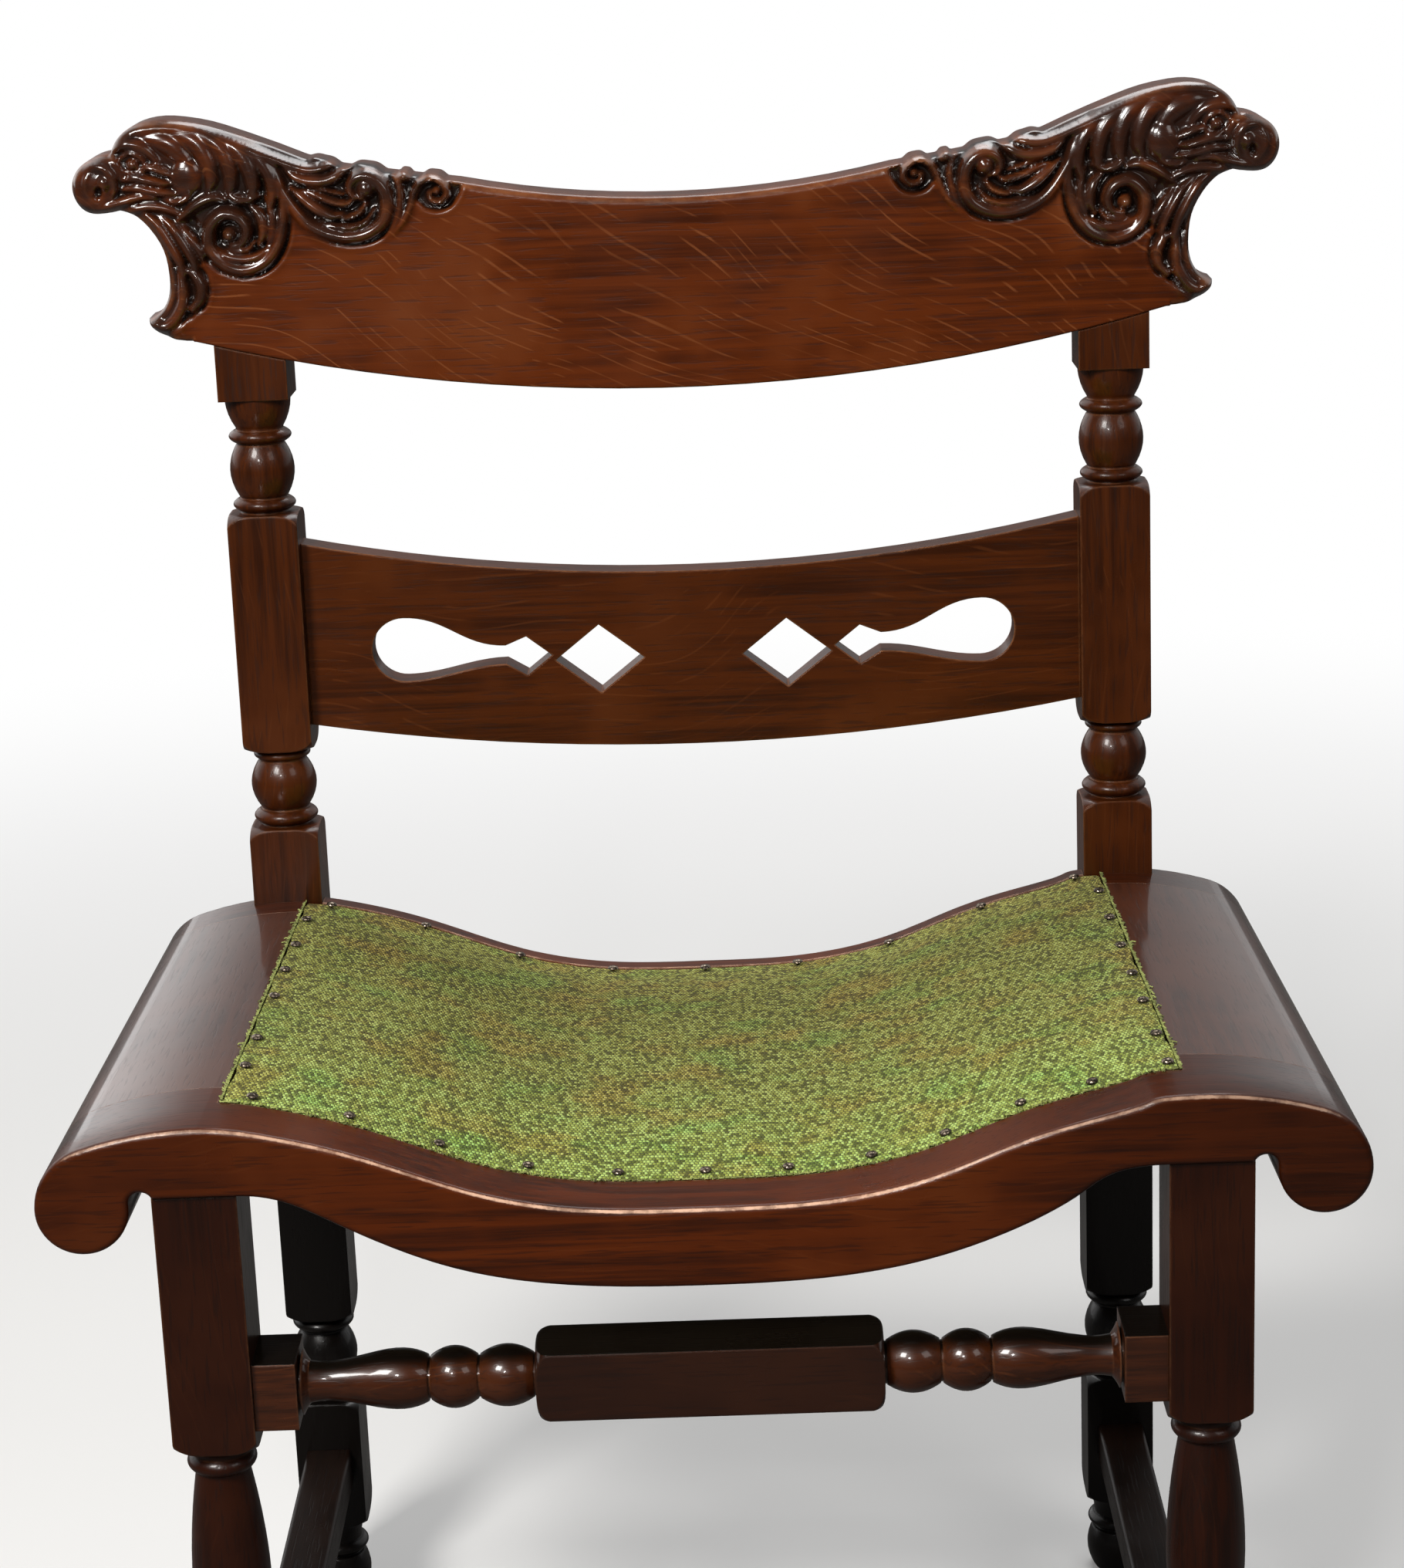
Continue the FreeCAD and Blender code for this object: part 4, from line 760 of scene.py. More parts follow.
crest_blank = merged_copy("crest_rail", "crest_blank")
crest_low, crest_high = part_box("crest_rail")
front = max((f for f in crest_blank.data.polygons if f.normal.y < -0.9), key=lambda f: f.area)
back = max((f for f in crest_blank.data.polygons if f.normal.y > 0.9), key=lambda f: f.area)
corners = [crest_blank.data.vertices[i].co for i in front.vertices]
outline = leafy_outline(np.array([(corner.x, corner.z) for corner in corners]))
rounding = edge_rounding(outline)

side_steps = math.ceil(crest_high.x / carve_step) + grid_margin
columns = np.arange(-side_steps, side_steps + 1) * carve_step
top_of_grid = crest_high.z + 2 * grid_margin * carve_step
rows = np.arange(crest_low.z - grid_margin * carve_step, top_of_grid, carve_step)
x, z = np.meshgrid(columns, rows)
heights = carved_face(np.abs(x), z)
spread = spread_out(heights, stain_spread)
gaps, rounds = near_outline(outline, rounding, rounding_reach)
hollows = np.clip((spread - heights) / stain_depth, 0, 1)
# A pale line along the top edge, partly wear and partly a painted highlight.
edge_wear_and_highlight = np.exp(-((gaps / mm - edge_line_place) / edge_line_width) ** 2) * (rounds > 2 * bottom_rounding)
carved = smooth_step(ornament_depth(np.abs(x), z) / carved_fade)
rub_and_highlight = np.clip(rubbed_share * (heights - spread) / stain_depth, 0, 1) + edge_wear_and_highlight_share * edge_wear_and_highlight
carried_fields = {"hollow": hollows, "top": rub_and_highlight, "carved": carved}

# Cells of the grid that lie well inside the outline are kept whole. Their outer sides form a stair.
whole = lies_inside(x, z, outline) & (gaps > rim_width)
cells = whole[:-1, :-1] & whole[1:, :-1] & whole[:-1, 1:] & whole[1:, 1:]
used = np.zeros(whole.shape, bool)
for down in (0, 1):
    for along in (0, 1):
        used[down:len(rows) - 1 + down, along:len(columns) - 1 + along] |= cells
index = np.full(whole.shape, -1)
index[used] = np.arange(used.sum())
cell_corners = (index[:-1, :-1], index[:-1, 1:], index[1:, 1:], index[1:, :-1])
quads = np.stack([corner[cells] for corner in cell_corners], 1)
sides = np.sort(np.concatenate([quads[:, [k, (k + 1) % 4]] for k in range(4)]), axis=1)
sides, counts = np.unique(sides, axis=0, return_counts=True)
stair = sides[counts == 1]

# Rings of points follow the outline at small gaps, where the edge is rounded.
after = np.roll(outline, -1, axis=0)
run = after - np.roll(outline, 1, axis=0)
inward = np.stack([-run[:, 1], run[:, 0]], 1) / np.hypot(run[:, 0], run[:, 1])[:, None]
if np.sum(outline[:, 0] * after[:, 1] - after[:, 0] * outline[:, 1]) < 0:
    inward = -inward
rim_points = [np.stack([x[used], z[used], gaps[used], rounds[used]], 1)]
for gap in rim_gaps:
    place = outline + inward * gap
    true_gap = np.maximum(depth_inside(place[:, 0], place[:, 1], outline), 0)
    rim_points.append(np.column_stack([place, true_gap, rounding])[true_gap >= rim_share * gap])
rim_start = len(rim_points[0])
points = np.vstack(rim_points)
lift = read_grid(heights, points[:, 0], points[:, 1]) * mm - rounded_off(points[:, 2], points[:, 3])

# Triangles fill the band between the stair and the outline.
stair_points = np.unique(stair)
place_of = {n: k for k, n in enumerate(stair_points)}
loose = np.concatenate([stair_points, np.arange(rim_start, len(points))])
ring = len(stair_points) + np.arange(len(outline))
fixed = [(place_of[a], place_of[b]) for a, b in stair] + list(zip(ring.tolist(), np.roll(ring, -1).tolist()))
filled = delaunay_2d_cdt([Vector(points[n, :2]) for n in loose], fixed, [], 0, fill_tolerance)
source = [int(loose[origin[0]]) if origin else None for origin in filled[3]]
flat = np.array([tuple(place) for place in filled[0]])
middles = np.array([flat[list(face)].mean(axis=0) for face in filled[2]])
i, j = ((middles - (columns[0], rows[0])) / carve_step).astype(int).T
keep = lies_inside(middles[:, 0], middles[:, 1], outline) & ~cells[j, i]
fills = [[source[k] for k in face] for face, good in zip(filled[2], keep) if good]

skin = bpy.data.meshes.new("crest")
carved_places = [(a, face_y(front, c) - h, c) for (a, c), h in zip(points[:, :2], lift)]
skin.from_pydata(carved_places, [], quads.tolist() + fills)
for title, field in carried_fields.items():
    layer = skin.attributes.new(title, "FLOAT", "POINT")
    layer.data.foreach_set("value", read_grid(field, points[:, 0], points[:, 1]).astype(np.float32))
crest = new_piece("crest", skin)

# The rim is drawn straight to the rear and closed there by one flat face with a bevel.
bpy.ops.object.mode_set(mode="EDIT")
bpy.ops.mesh.select_mode(type="EDGE")
bpy.ops.mesh.select_all(action="SELECT")
bpy.ops.mesh.normals_make_consistent(inside=False)
bpy.ops.mesh.select_all(action="DESELECT")
bpy.ops.mesh.select_non_manifold(extend=False, use_wire=False, use_multi_face=False, use_non_contiguous=False,
                                 use_verts=False)
bpy.ops.mesh.extrude_edges_move()
bpy.ops.object.mode_set(mode="OBJECT")
for vertex in skin.vertices:
    if vertex.select:
        vertex.co.y = face_y(back, vertex.co.z)
bpy.ops.object.mode_set(mode="EDIT")
bpy.ops.mesh.edge_face_add()
bpy.ops.mesh.select_mode(type="FACE")
bpy.ops.mesh.inset(thickness=back_bevel, use_boundary=True)
bpy.ops.object.mode_set(mode="OBJECT")
in_back_face = {i for face in skin.polygons if face.select for i in face.vertices}
for vertex in skin.vertices:
    if vertex.index not in in_back_face and abs(vertex.co.y - face_y(back, vertex.co.z)) < same_plane:
        vertex.co.y -= back_bevel
face_outwards(smooth_degrees=50)
for face in skin.polygons:
    face.use_smooth = len(face.vertices) < back_sides
plain = [abs(vertex.co.y - face_y(back, vertex.co.z)) < 2 * back_bevel for vertex in skin.vertices]
for title in carried_fields:
    for carried, at_back in zip(skin.attributes[title].data, plain):
        if at_back:
            carried.value = 0.0
bpy.data.objects.remove(crest_blank)

crest_oak, figure = oak("crest_oak", grain_across, ray_turn=(0, math.radians(30), 0), coat=board_coat,
                        Fleck_Amount=0.7, Deep=(0.024, 0.0040, 0.0006, 1),
                        Body=(0.116, 0.0210, 0.0020, 1), Fleck=(0.22, 0.066, 0.020, 1),
                        Edge_Width=0.3 * mm)
tree = crest_oak.node_tree
hollow, top, carved = [node(tree, "Attribute", {"attribute_name": title}).outputs["Fac"]
                       for title in carried_fields]
feed(figure, Hollow=hollow, Top=top)
facing = split(tree, node(tree, "NewGeometry").outputs["Normal"])["Y"]
carved = sums(tree, "MULTIPLY", carved, ramp(tree, facing, -0.15, -0.5))
blotches = noise(tree, node(tree, "TexCoord").outputs["Object"], 42.0, 2.0)
darkened = sums(tree, "MULTIPLY", carved, ramp(tree, blotches, 0.62, 0.42, 0.25, 0.85))
feed(tree.nodes["Principled BSDF"],
     Base_Color=blend(tree, darkened, figure.outputs["Color"], carving_stain),
     Roughness=sums(tree, "MULTIPLY_ADD", carved, -carving_polish, figure.outputs["Roughness"]),
     Coat_Weight=sums(tree, "MULTIPLY_ADD", carved, carving_coat, board_coat), Coat_Roughness=0.18)
dress(crest, crest_oak, "back_oak", "crest_rail")


# Seat frame. Two rails cut to a saddle and rolled over at the ends, and a wing board between them at each
# side, dowelled to the rails. The rails' rounded front edges are rubbed pale and carry a painted highlight,
# the rails are painted darker towards the lobes as painted shade, and the wings shine. Bare oak blocks
# stiffen the corners underneath, and the dowels are beech.

lobe_start = (0.205, 0.255)
lobe_top = (-0.214, -0.178)
right_shade = (0.06, 0.29)
left_shade = (-0.10, -0.29)
painted_lobe_shade = (0.010, 0.0025, 0.0008, 1)
rail_coat = 0.15
lobe_coat = 0.85

seat_oak, figure = oak("seat_oak", grain_across, shift=(0.15, 0.3, 0.6), coat=rail_coat,
                       Fleck_Amount=0.15, Wear=0.9, Body=(0.096, 0.0160, 0.0006, 1),
                       Deep=(0.014, 0.0026, 0.0004, 1), Fleck=(0.17, 0.042, 0.008, 1),
                       Worn=(0.88, 0.55, 0.38, 1))
tree = seat_oak.node_tree
facing = split(tree, node(tree, "NewGeometry").outputs["Normal"])
turned_up = sums(tree, "MULTIPLY", facing["Y"], facing["Z"])
# The band on the rounded front edge takes the pale worn colour: partly wear, partly a painted highlight.
feed(figure, Top=ramp(tree, turned_up, -0.38, -0.485))
spot = split(tree, node(tree, "TexCoord").outputs["Object"])
shine = sums(tree, "MULTIPLY", ramp(tree, sums(tree, "ABSOLUTE", spot["X"]), *lobe_start),
             ramp(tree, spot["Y"], *lobe_top))
# The rails darken towards the lobes, more on the right: painted shade.
shade = sums(tree, "MAXIMUM", ramp(tree, spot["X"], *right_shade, 0.0, 0.55),
             ramp(tree, spot["X"], *left_shade, 0.0, 0.35))
feed(tree.nodes["Principled BSDF"], Coat_Weight=sums(tree, "MULTIPLY_ADD", shine, lobe_coat, rail_coat),
     Base_Color=blend(tree, shade, figure.outputs["Color"], painted_lobe_shade))
finish_nodes(["seat_front_rail", "seat_rear_rail"], seat_oak)

wing_oak, _ = oak("wing_oak", grain_to_rear, shift=(0.4, 0.1, 0.0), coat=0.9, specular=0.6,
                  Fleck_Amount=0.12, Wear=0.4, Gloss=0.32, Body=(0.085, 0.0240, 0.0100, 1),
                  Deep=(0.024, 0.0070, 0.0030, 1), Fleck=(0.13, 0.040, 0.015, 1))
finish_nodes(["seat_wing_left", "seat_wing_right"], wing_oak)

block_oak, _ = oak("block_oak", grain_across, shift=(0.2, 0.5, 0.1), coat=0.0, Fleck_Amount=0.2, Wear=0.2,
                   Gloss=0.6, Body=(0.30, 0.18, 0.095, 1), Deep=(0.16, 0.085, 0.04, 1),
                   Fleck=(0.42, 0.28, 0.16, 1))
finish_nodes(["corner_block_" + end + side for end in ("front_", "rear_") for side in ("left", "right")],
             block_oak)

beech, _ = oak("beech", grain_to_rear, coat=0.0, Fleck_Amount=0.1, Wear=0.1, Gloss=0.6,
               Body=(0.50, 0.32, 0.18, 1), Deep=(0.36, 0.21, 0.11, 1), Fleck=(0.58, 0.40, 0.24, 1))
finish_nodes(["wing_dowels", "crest_dowels"], beech)


# Tacks and screws. Small domed upholstery tacks, dulled to a dark bronze, hold the cover; plainer ones
# hold the webbing, and steel wood screws hold the corner blocks and the posts.

tack_head_radius = 3.0 * mm
tack_head_rise = 1.9 * mm
tack_shank_radius = 0.85 * mm
tack_shank_length = 10.5 * mm
tack_point = 0.3
packed_head_band = 4.0 * mm
packed_head_rise = 1.8 * mm
cover_lift = 0.9 * mm


def dull_metal(name, bright, dark, roughness):
    """Metal that has darkened in patches."""
    material, tree, shader = fresh_material(name)
    patches = noise(tree, node(tree, "TexCoord").outputs["Object"], 600.0, 3.0)
    tarnish = ramp(tree, patches, 0.38, 0.62)
    feed(shader, Base_Color=blend(tree, tarnish, bright, dark), Metallic=1.0,
         Roughness=sums(tree, "MULTIPLY_ADD", tarnish, 0.2, roughness))
    return material


def solids_of(name):
    """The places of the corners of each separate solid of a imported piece."""
    copy = merged_copy(name, name + "_places")
    mesh = copy.data
    owner = list(range(len(mesh.vertices)))

    def first_of(k):
        while owner[k] != k:
            owner[k] = owner[owner[k]]
            k = owner[k]
        return k

    for edge in mesh.edges:
        a, b = (first_of(k) for k in edge.vertices)
        owner[a] = b
    groups = {}
    for vertex in mesh.vertices:
        groups.setdefault(first_of(vertex.index), []).append(tuple(vertex.co))
    bpy.data.objects.remove(copy)
    return [np.array(places) for _, places in sorted(groups.items())]


tack_bronze = dull_metal("tack_bronze", (0.30, 0.24, 0.18, 1), (0.045, 0.036, 0.028, 1), 0.22)
screw_steel = dull_metal("screw_steel", (0.42, 0.41, 0.40, 1), (0.20, 0.19, 0.18, 1), 0.35)
finish_nodes(["webbing_tacks"], tack_bronze)
finish_nodes(["corner_screws", "post_screws"], screw_steel)

bpy.ops.object.select_all(action="DESELECT")
bpy.ops.mesh.primitive_uv_sphere_add(segments=16, ring_count=12, radius=tack_head_radius)
tack = bpy.context.object
bpy.ops.object.mode_set(mode="EDIT")
bpy.ops.mesh.select_all(action="SELECT")
bpy.ops.mesh.bisect(plane_co=(0, 0, 0), plane_no=(0, 0, 1), clear_inner=True, use_fill=True)
bpy.ops.mesh.select_all(action="SELECT")
bpy.ops.transform.resize(value=(1, 1, tack_head_rise / tack_head_radius))
bpy.ops.mesh.select_all(action="DESELECT")
bpy.ops.mesh.select_mode(type="FACE")
bpy.ops.object.mode_set(mode="OBJECT")
under = max(tack.data.polygons, key=lambda face: face.area)
under.select = True
bpy.ops.object.mode_set(mode="EDIT")
bpy.ops.mesh.inset(thickness=tack_head_radius - tack_shank_radius)
bpy.ops.mesh.extrude_region_move(TRANSFORM_OT_translate={"value": (0, 0, -tack_shank_length)})
bpy.ops.transform.resize(value=(tack_point, tack_point, 1))
bpy.ops.object.mode_set(mode="OBJECT")
tack_corners = np.array([tuple(vertex.co) for vertex in tack.data.vertices])
tack_faces = [list(face.vertices) for face in tack.data.polygons]
bpy.data.objects.remove(tack)

points, faces = [], []
tack_solids = solids_of("cover_tacks")
for places in tack_solids:
    tip = places[places[:, 2].argmin()]
    head = places[places[:, 2] > places[:, 2].max() - packed_head_band]
    middle = head.mean(axis=0)
    up = (middle - tip) / np.linalg.norm(middle - tip)
    seat = tip + up * (((head - tip) @ up).max() - packed_head_rise + cover_lift)
    turn = np.array(Vector((0, 0, 1)).rotation_difference(Vector(up)).to_matrix())
    faces += [[k + len(points) for k in face] for face in tack_faces]
    points += list(tack_corners @ turn.T + seat)
tacks_mesh = bpy.data.meshes.new("tacks")
tacks_mesh.from_pydata([tuple(point) for point in points], [], faces)
tacks = new_piece("tacks", tacks_mesh)
bpy.ops.object.shade_smooth_by_angle(angle=math.radians(40))
dress(tacks, tack_bronze, "tack_metal", "cover_tacks")


# Upholstery. Jute webbing is tacked from the front rail to the rear rail, burlap lies over it, a thin felt
# pad over that, and a coarse olive tweed is stretched over all and tacked down along its frayed edge.

soft_step = 6.0 * mm
webbing_step = 5.0 * mm
level_enough = 0.6
hole_rows = 2
hole_depth = 1.2 * mm


def make_weave():
    """The group that draws a cloth from yarns: knots in half-turned rows, each with a tone of its own."""
    group = bpy.data.node_groups.new("woven_cloth", "ShaderNodeTree")
    socket(group, "Place", "Vector", "INPUT")
    socket(group, "Yarns", "Vector", "INPUT", (300.0, 200.0, 1.0))
    socket(group, "Light", "Color", "INPUT", (0.4, 0.4, 0.3, 1))
    socket(group, "Middle", "Color", "INPUT", (0.2, 0.2, 0.1, 1))
    socket(group, "Dark", "Color", "INPUT", (0.05, 0.04, 0.02, 1))
    socket(group, "Gap", "Color", "INPUT", (0.02, 0.02, 0.01, 1))
    socket(group, "Waver", "Float", "INPUT", 0.6 * mm)
    socket(group, "Contrast", "Float", "INPUT", 0.5)
    socket(group, "Color", "Color", "OUTPUT")
    socket(group, "Height", "Float", "OUTPUT")
    given = group.nodes.new("NodeGroupInput").outputs
    result = group.nodes.new("NodeGroupOutput")

    sway = node(group, "TexNoise", Vector=given["Place"], Scale=90.0, Detail=4.0, Roughness=0.7)
    sway = node(group, "VectorMath", {"operation": "SUBTRACT"}, i0=sway.outputs["Color"], i1=(0.5, 0.5, 0.5))
    sway = node(group, "VectorMath", {"operation": "SCALE"}, i0=sway.outputs[0], Scale=given["Waver"])
    place = node(group, "VectorMath", {"operation": "ADD"}, i0=given["Place"], i1=sway.outputs[0])
    parts = split(group, stretched(group, place.outputs[0], given["Yarns"]))
    row = sums(group, "FLOOR", parts["Y"])
    shift = sums(group, "MULTIPLY", sums(group, "FLOORED_MODULO", row, 2.0), 0.5)
    across = sums(group, "ADD", parts["X"], shift)
    knot = node(group, "CombineXYZ", X=sums(group, "FLOOR", across), Y=row).outputs[0]
    chance = node(group, "TexWhiteNoise", {"noise_dimensions": "2D"}, Vector=knot).outputs["Value"]
    yarn = node(group, "TexWhiteNoise", {"noise_dimensions": "1D"}, W=row).outputs["Value"]
    bulges = [sums(group, "SINE", sums(group, "MULTIPLY", sums(group, "FRACT", way), math.pi))
              for way in (across, parts["Y"])]
    bulge = sums(group, "POWER", sums(group, "MULTIPLY", *bulges), 0.5)
    strands = noise(group, given["Place"], 900.0, 2.0)
    height = sums(group, "MULTIPLY_ADD", strands, 0.25, bulge)
    height = sums(group, "MULTIPLY", height, sums(group, "MULTIPLY_ADD", chance, 0.3, 0.7))

    pick = sums(group, "MULTIPLY_ADD", yarn, 0.12, sums(group, "MULTIPLY", chance, 0.88))
    pick = sums(group, "MULTIPLY_ADD", strands, 0.5, sums(group, "SUBTRACT", pick, 0.25))
    pick = sums(group, "MULTIPLY_ADD", sums(group, "SUBTRACT", pick, 0.5), given["Contrast"], 0.5)
    tone = blend(group, ramp(group, pick, 0.1, 0.5), given["Dark"], given["Middle"])
    tone = blend(group, ramp(group, pick, 0.5, 0.9), tone, given["Light"])
    depth = sums(group, "MULTIPLY_ADD", strands, 0.9, sums(group, "SUBTRACT", bulge, 0.45))
    tone = blend(group, ramp(group, depth, 0.62, 0.2, 0.0, 0.8), tone, given["Gap"])
    feed(result, Color=tone, Height=height)
    return group


woven_cloth = make_weave()


def cloth(name, relief, sheen, **values):
    """A woven material that follows the cloth's own map, in metres, with a soft relief."""
    material, tree, shader = fresh_material(name)
    place = node(tree, "TexCoord").outputs["UV"]
    weave = node(tree, "Group", {"node_tree": woven_cloth}, Place=place, **values)
    bump = node(tree, "Bump", Strength=0.9, Distance=relief, Height=weave.outputs["Height"])
    feed(shader, Base_Color=weave.outputs["Color"], Normal=bump.outputs[0], Roughness=0.92,
         Specular_IOR_Level=0.15, Sheen_Weight=sheen, Sheen_Roughness=0.5)
    return material, weave


def surface_of(name, xs, ys, upwards):
    """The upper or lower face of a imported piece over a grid, with the holes for its tacks closed."""
    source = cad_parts[name]
    low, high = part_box(name)
    start, way = (high.z + mm, -1) if upwards else (low.z - mm, 1)
    found = np.full((len(ys), len(xs)), np.nan)
    for j, y in enumerate(ys):
        for i, x in enumerate(xs):
            hit, place, normal, _ = source.ray_cast((x, y, start), (0, 0, way))
            if hit and normal.z * -way > level_enough:
                found[j, i] = place.z
    if upwards:
        nearby = np.pad(found, ((hole_rows, hole_rows), (0, 0)), mode="edge")
        nearby = [nearby[k:k + len(ys)] for k in range(2 * hole_rows + 1)]
        found[np.abs(found - np.nanmedian(np.stack(nearby), axis=0)) > hole_depth] = np.nan
    while np.isnan(found).any():
        padded = np.pad(found, 1, constant_values=np.nan)
        around = np.stack([padded[:-2, 1:-1], padded[2:, 1:-1], padded[1:-1, :-2], padded[1:-1, 2:]])
        count = (~np.isnan(around)).sum(axis=0)
        fill = np.nansum(around, axis=0) / np.maximum(count, 1)
        found = np.where(np.isnan(found) & (count > 0), fill, found)
    return found


def top_sheet(title, name, step, inset=0.4 * mm):
    """The upper side of a packed soft piece as one sheet, with a map of lengths along the cloth."""
    low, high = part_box(name)
    xs = np.linspace(low.x + inset, high.x - inset, max(3, round((high.x - low.x) / step)) + 1)
    ys = np.linspace(low.y + inset, high.y - inset, max(3, round((high.y - low.y) / step)) + 1)
    upper = surface_of(name, xs, ys, True)
    lower = surface_of(name, xs, ys, False)
    bpy.ops.object.select_all(action="DESELECT")
    bpy.ops.mesh.primitive_grid_add(x_subdivisions=len(xs) - 1, y_subdivisions=len(ys) - 1, size=1)
    sheet = bpy.context.object
    sheet.name = title
    sheet.data.name = title
    slope = upper[len(ys) // 2]
    lengths = np.concatenate([[0], np.cumsum(np.hypot(np.diff(xs), np.diff(slope)))])
    for k, vertex in enumerate(sheet.data.vertices):
        j, i = divmod(k, len(xs))
        vertex.co = (xs[i], ys[j], upper[j, i])
    layer = sheet.data.uv_layers.active.data
    for loop in sheet.data.loops:
        j, i = divmod(loop.vertex_index, len(xs))
        layer[loop.index].uv = (lengths[i] - lengths[-1] / 2, ys[j])
    return sheet, xs, ys, upper, lower, (round(float(lengths[-1]), 4), round(float(ys[-1] - ys[0]), 4))


def close_below(sheet, xs, ys, lower):
    """The sheet with its own underside and edges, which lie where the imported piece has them."""
    select_only(sheet)
    bpy.ops.object.mode_set(mode="EDIT")
    bpy.ops.mesh.select_all(action="SELECT")
    bpy.ops.mesh.extrude_region_move(TRANSFORM_OT_translate={"value": (0, 0, -1)})
    bpy.ops.object.mode_set(mode="OBJECT")
    for vertex in sheet.data.vertices:
        if vertex.co.z < 0:
            j = int(np.abs(ys - vertex.co.y).argmin())
            i = int(np.abs(xs - vertex.co.x).argmin())
            vertex.co.z = lower[j, i]
    face_outwards(smooth_degrees=50)


webbing_jute, _ = cloth("webbing_jute", 0.5 * mm, 0.1, Yarns=(420.0, 480.0, 1.0), Waver=0.5 * mm,
                        Contrast=0.8, Light=(0.46, 0.36, 0.22, 1), Middle=(0.34, 0.25, 0.14, 1),
                        Dark=(0.20, 0.14, 0.07, 1), Gap=(0.05, 0.035, 0.02, 1))
for number in range(1, 6):
    name = "webbing_strip_" + str(number)
    strip, xs, ys, upper, lower, flat = top_sheet("jute_strip_" + str(number), name, webbing_step)
    close_below(strip, xs, ys, lower)
    dress(strip, webbing_jute, "webbing", name)

burlap_jute, _ = cloth("burlap_jute", 0.4 * mm, 0.1, Yarns=(520.0, 520.0, 1.0), Waver=0.8 * mm,
                       Contrast=0.9, Light=(0.42, 0.31, 0.18, 1), Middle=(0.30, 0.21, 0.11, 1),
                       Dark=(0.16, 0.10, 0.05, 1), Gap=(0.02, 0.014, 0.008, 1))
burlap, xs, ys, upper, lower, flat = top_sheet("burlap", "seat_burlap", soft_step)
close_below(burlap, xs, ys, lower)
dress(burlap, burlap_jute, "burlap", "seat_burlap")

pale_lint = (0.66, 0.62, 0.53, 1)
grey_lint = (0.36, 0.32, 0.25, 1)
felt_inset = 1.2 * mm
felt, tree, shader = fresh_material("cotton_felt")
lint = noise(tree, node(tree, "TexCoord").outputs["Object"], 260.0, 5.0, Roughness=0.7)
fuzz = node(tree, "Bump", Strength=0.8, Distance=1.0 * mm, Height=lint)
feed(shader, Base_Color=blend(tree, ramp(tree, lint, 0.35, 0.65), grey_lint, pale_lint), Roughness=0.95,
     Normal=fuzz.outputs[0])
pad, xs, ys, upper, lower, flat = top_sheet("felt_pad", "seat_padding", soft_step, felt_inset)
close_below(pad, xs, ys, lower)
dress(pad, felt, "padding", "seat_padding")


# The cover's cloth is held at the tacks and lifts a little between them. Its edge is cut on the thread and
# has frayed, so yarns loop and stick out at its front and its sides.

puff_pressure = 1.2
puff_frames = 12
puff_most = 2.2 * mm
held_reach = 10.0 * mm
rear_settle = 45.0 * mm
ragged = 1.3 * mm
ragged_range = (-1, 0.7)
green_stretch = (24.0, 30.0, 30.0)
rear_fade = (-0.10, 0.16)
front_fade = (-0.06, -0.17)
brown_tint = (1.05, 0.80, 0.72, 1)
green_tint = (0.78, 1.02, 0.92, 1)
rear_tint = (0.90, 0.78, 0.66, 1)
front_tint = (1.12, 1.30, 1.30, 1)

tweed, weave = cloth("tweed", 1.0 * mm, 0.05, Yarns=(560.0, 380.0, 1.0), Waver=2.6 * mm, Contrast=1.0,
                     Light=(0.46, 0.53, 0.14, 1), Middle=(0.29, 0.31, 0.055, 1),
                     Dark=(0.088, 0.092, 0.014, 1), Gap=(0.055, 0.046, 0.012, 1))
tree = tweed.node_tree
place = node(tree, "TexCoord").outputs["Object"]
browner = ramp(tree, noise(tree, place, 26.0, 4.0, Roughness=0.6), 0.46, 0.64, 0.0, 0.95)
greener = ramp(tree, noise(tree, stretched(tree, place, green_stretch), 1.0, 4.0), 0.50, 0.68, 0.0, 0.8)
rearwards = split(tree, place)["Y"]
hue = blend(tree, browner, weave.outputs["Color"], brown_tint, "MULTIPLY")
hue = blend(tree, greener, hue, green_tint, "MULTIPLY")
hue = blend(tree, ramp(tree, rearwards, *rear_fade, 0.0, 0.6), hue, rear_tint, "MULTIPLY")
hue = blend(tree, ramp(tree, rearwards, *front_fade), hue, front_tint, "MULTIPLY")
feed(tree.nodes["Principled BSDF"], Base_Color=hue)

cover, xs, ys, upper, lower, flat = top_sheet("tweed_cover", "seat_cover", soft_step)
tack_spots = np.array([[places[:, 0].mean(), places[:, 1].mean()] for places in tack_solids])
rng = np.random.default_rng(7)
held = cover.vertex_groups.new(name="held")
for k, vertex in enumerate(cover.data.vertices):
    j, i = divmod(k, len(xs))
    rim = i in (0, len(xs) - 1) or j in (0, len(ys) - 1)
    near = np.hypot(*(tack_spots - (xs[i], ys[j])).T).min() < held_reach
    held.add([k], 1.0 if rim or near else 0.0, "REPLACE")
bpy.ops.object.modifier_add(type="CLOTH")
puff = cover.modifiers[0]
puff.settings.quality = 6
puff.settings.mass = 0.25
puff.settings.vertex_group_mass = "held"
puff.settings.use_pressure = True
puff.settings.uniform_pressure_force = puff_pressure
puff.settings.effector_weights.gravity = 0
for number in range(1, puff_frames + 1):
    bpy.context.scene.frame_set(number)
bpy.ops.object.modifier_apply(modifier=puff.name)
cover.vertex_groups.clear()
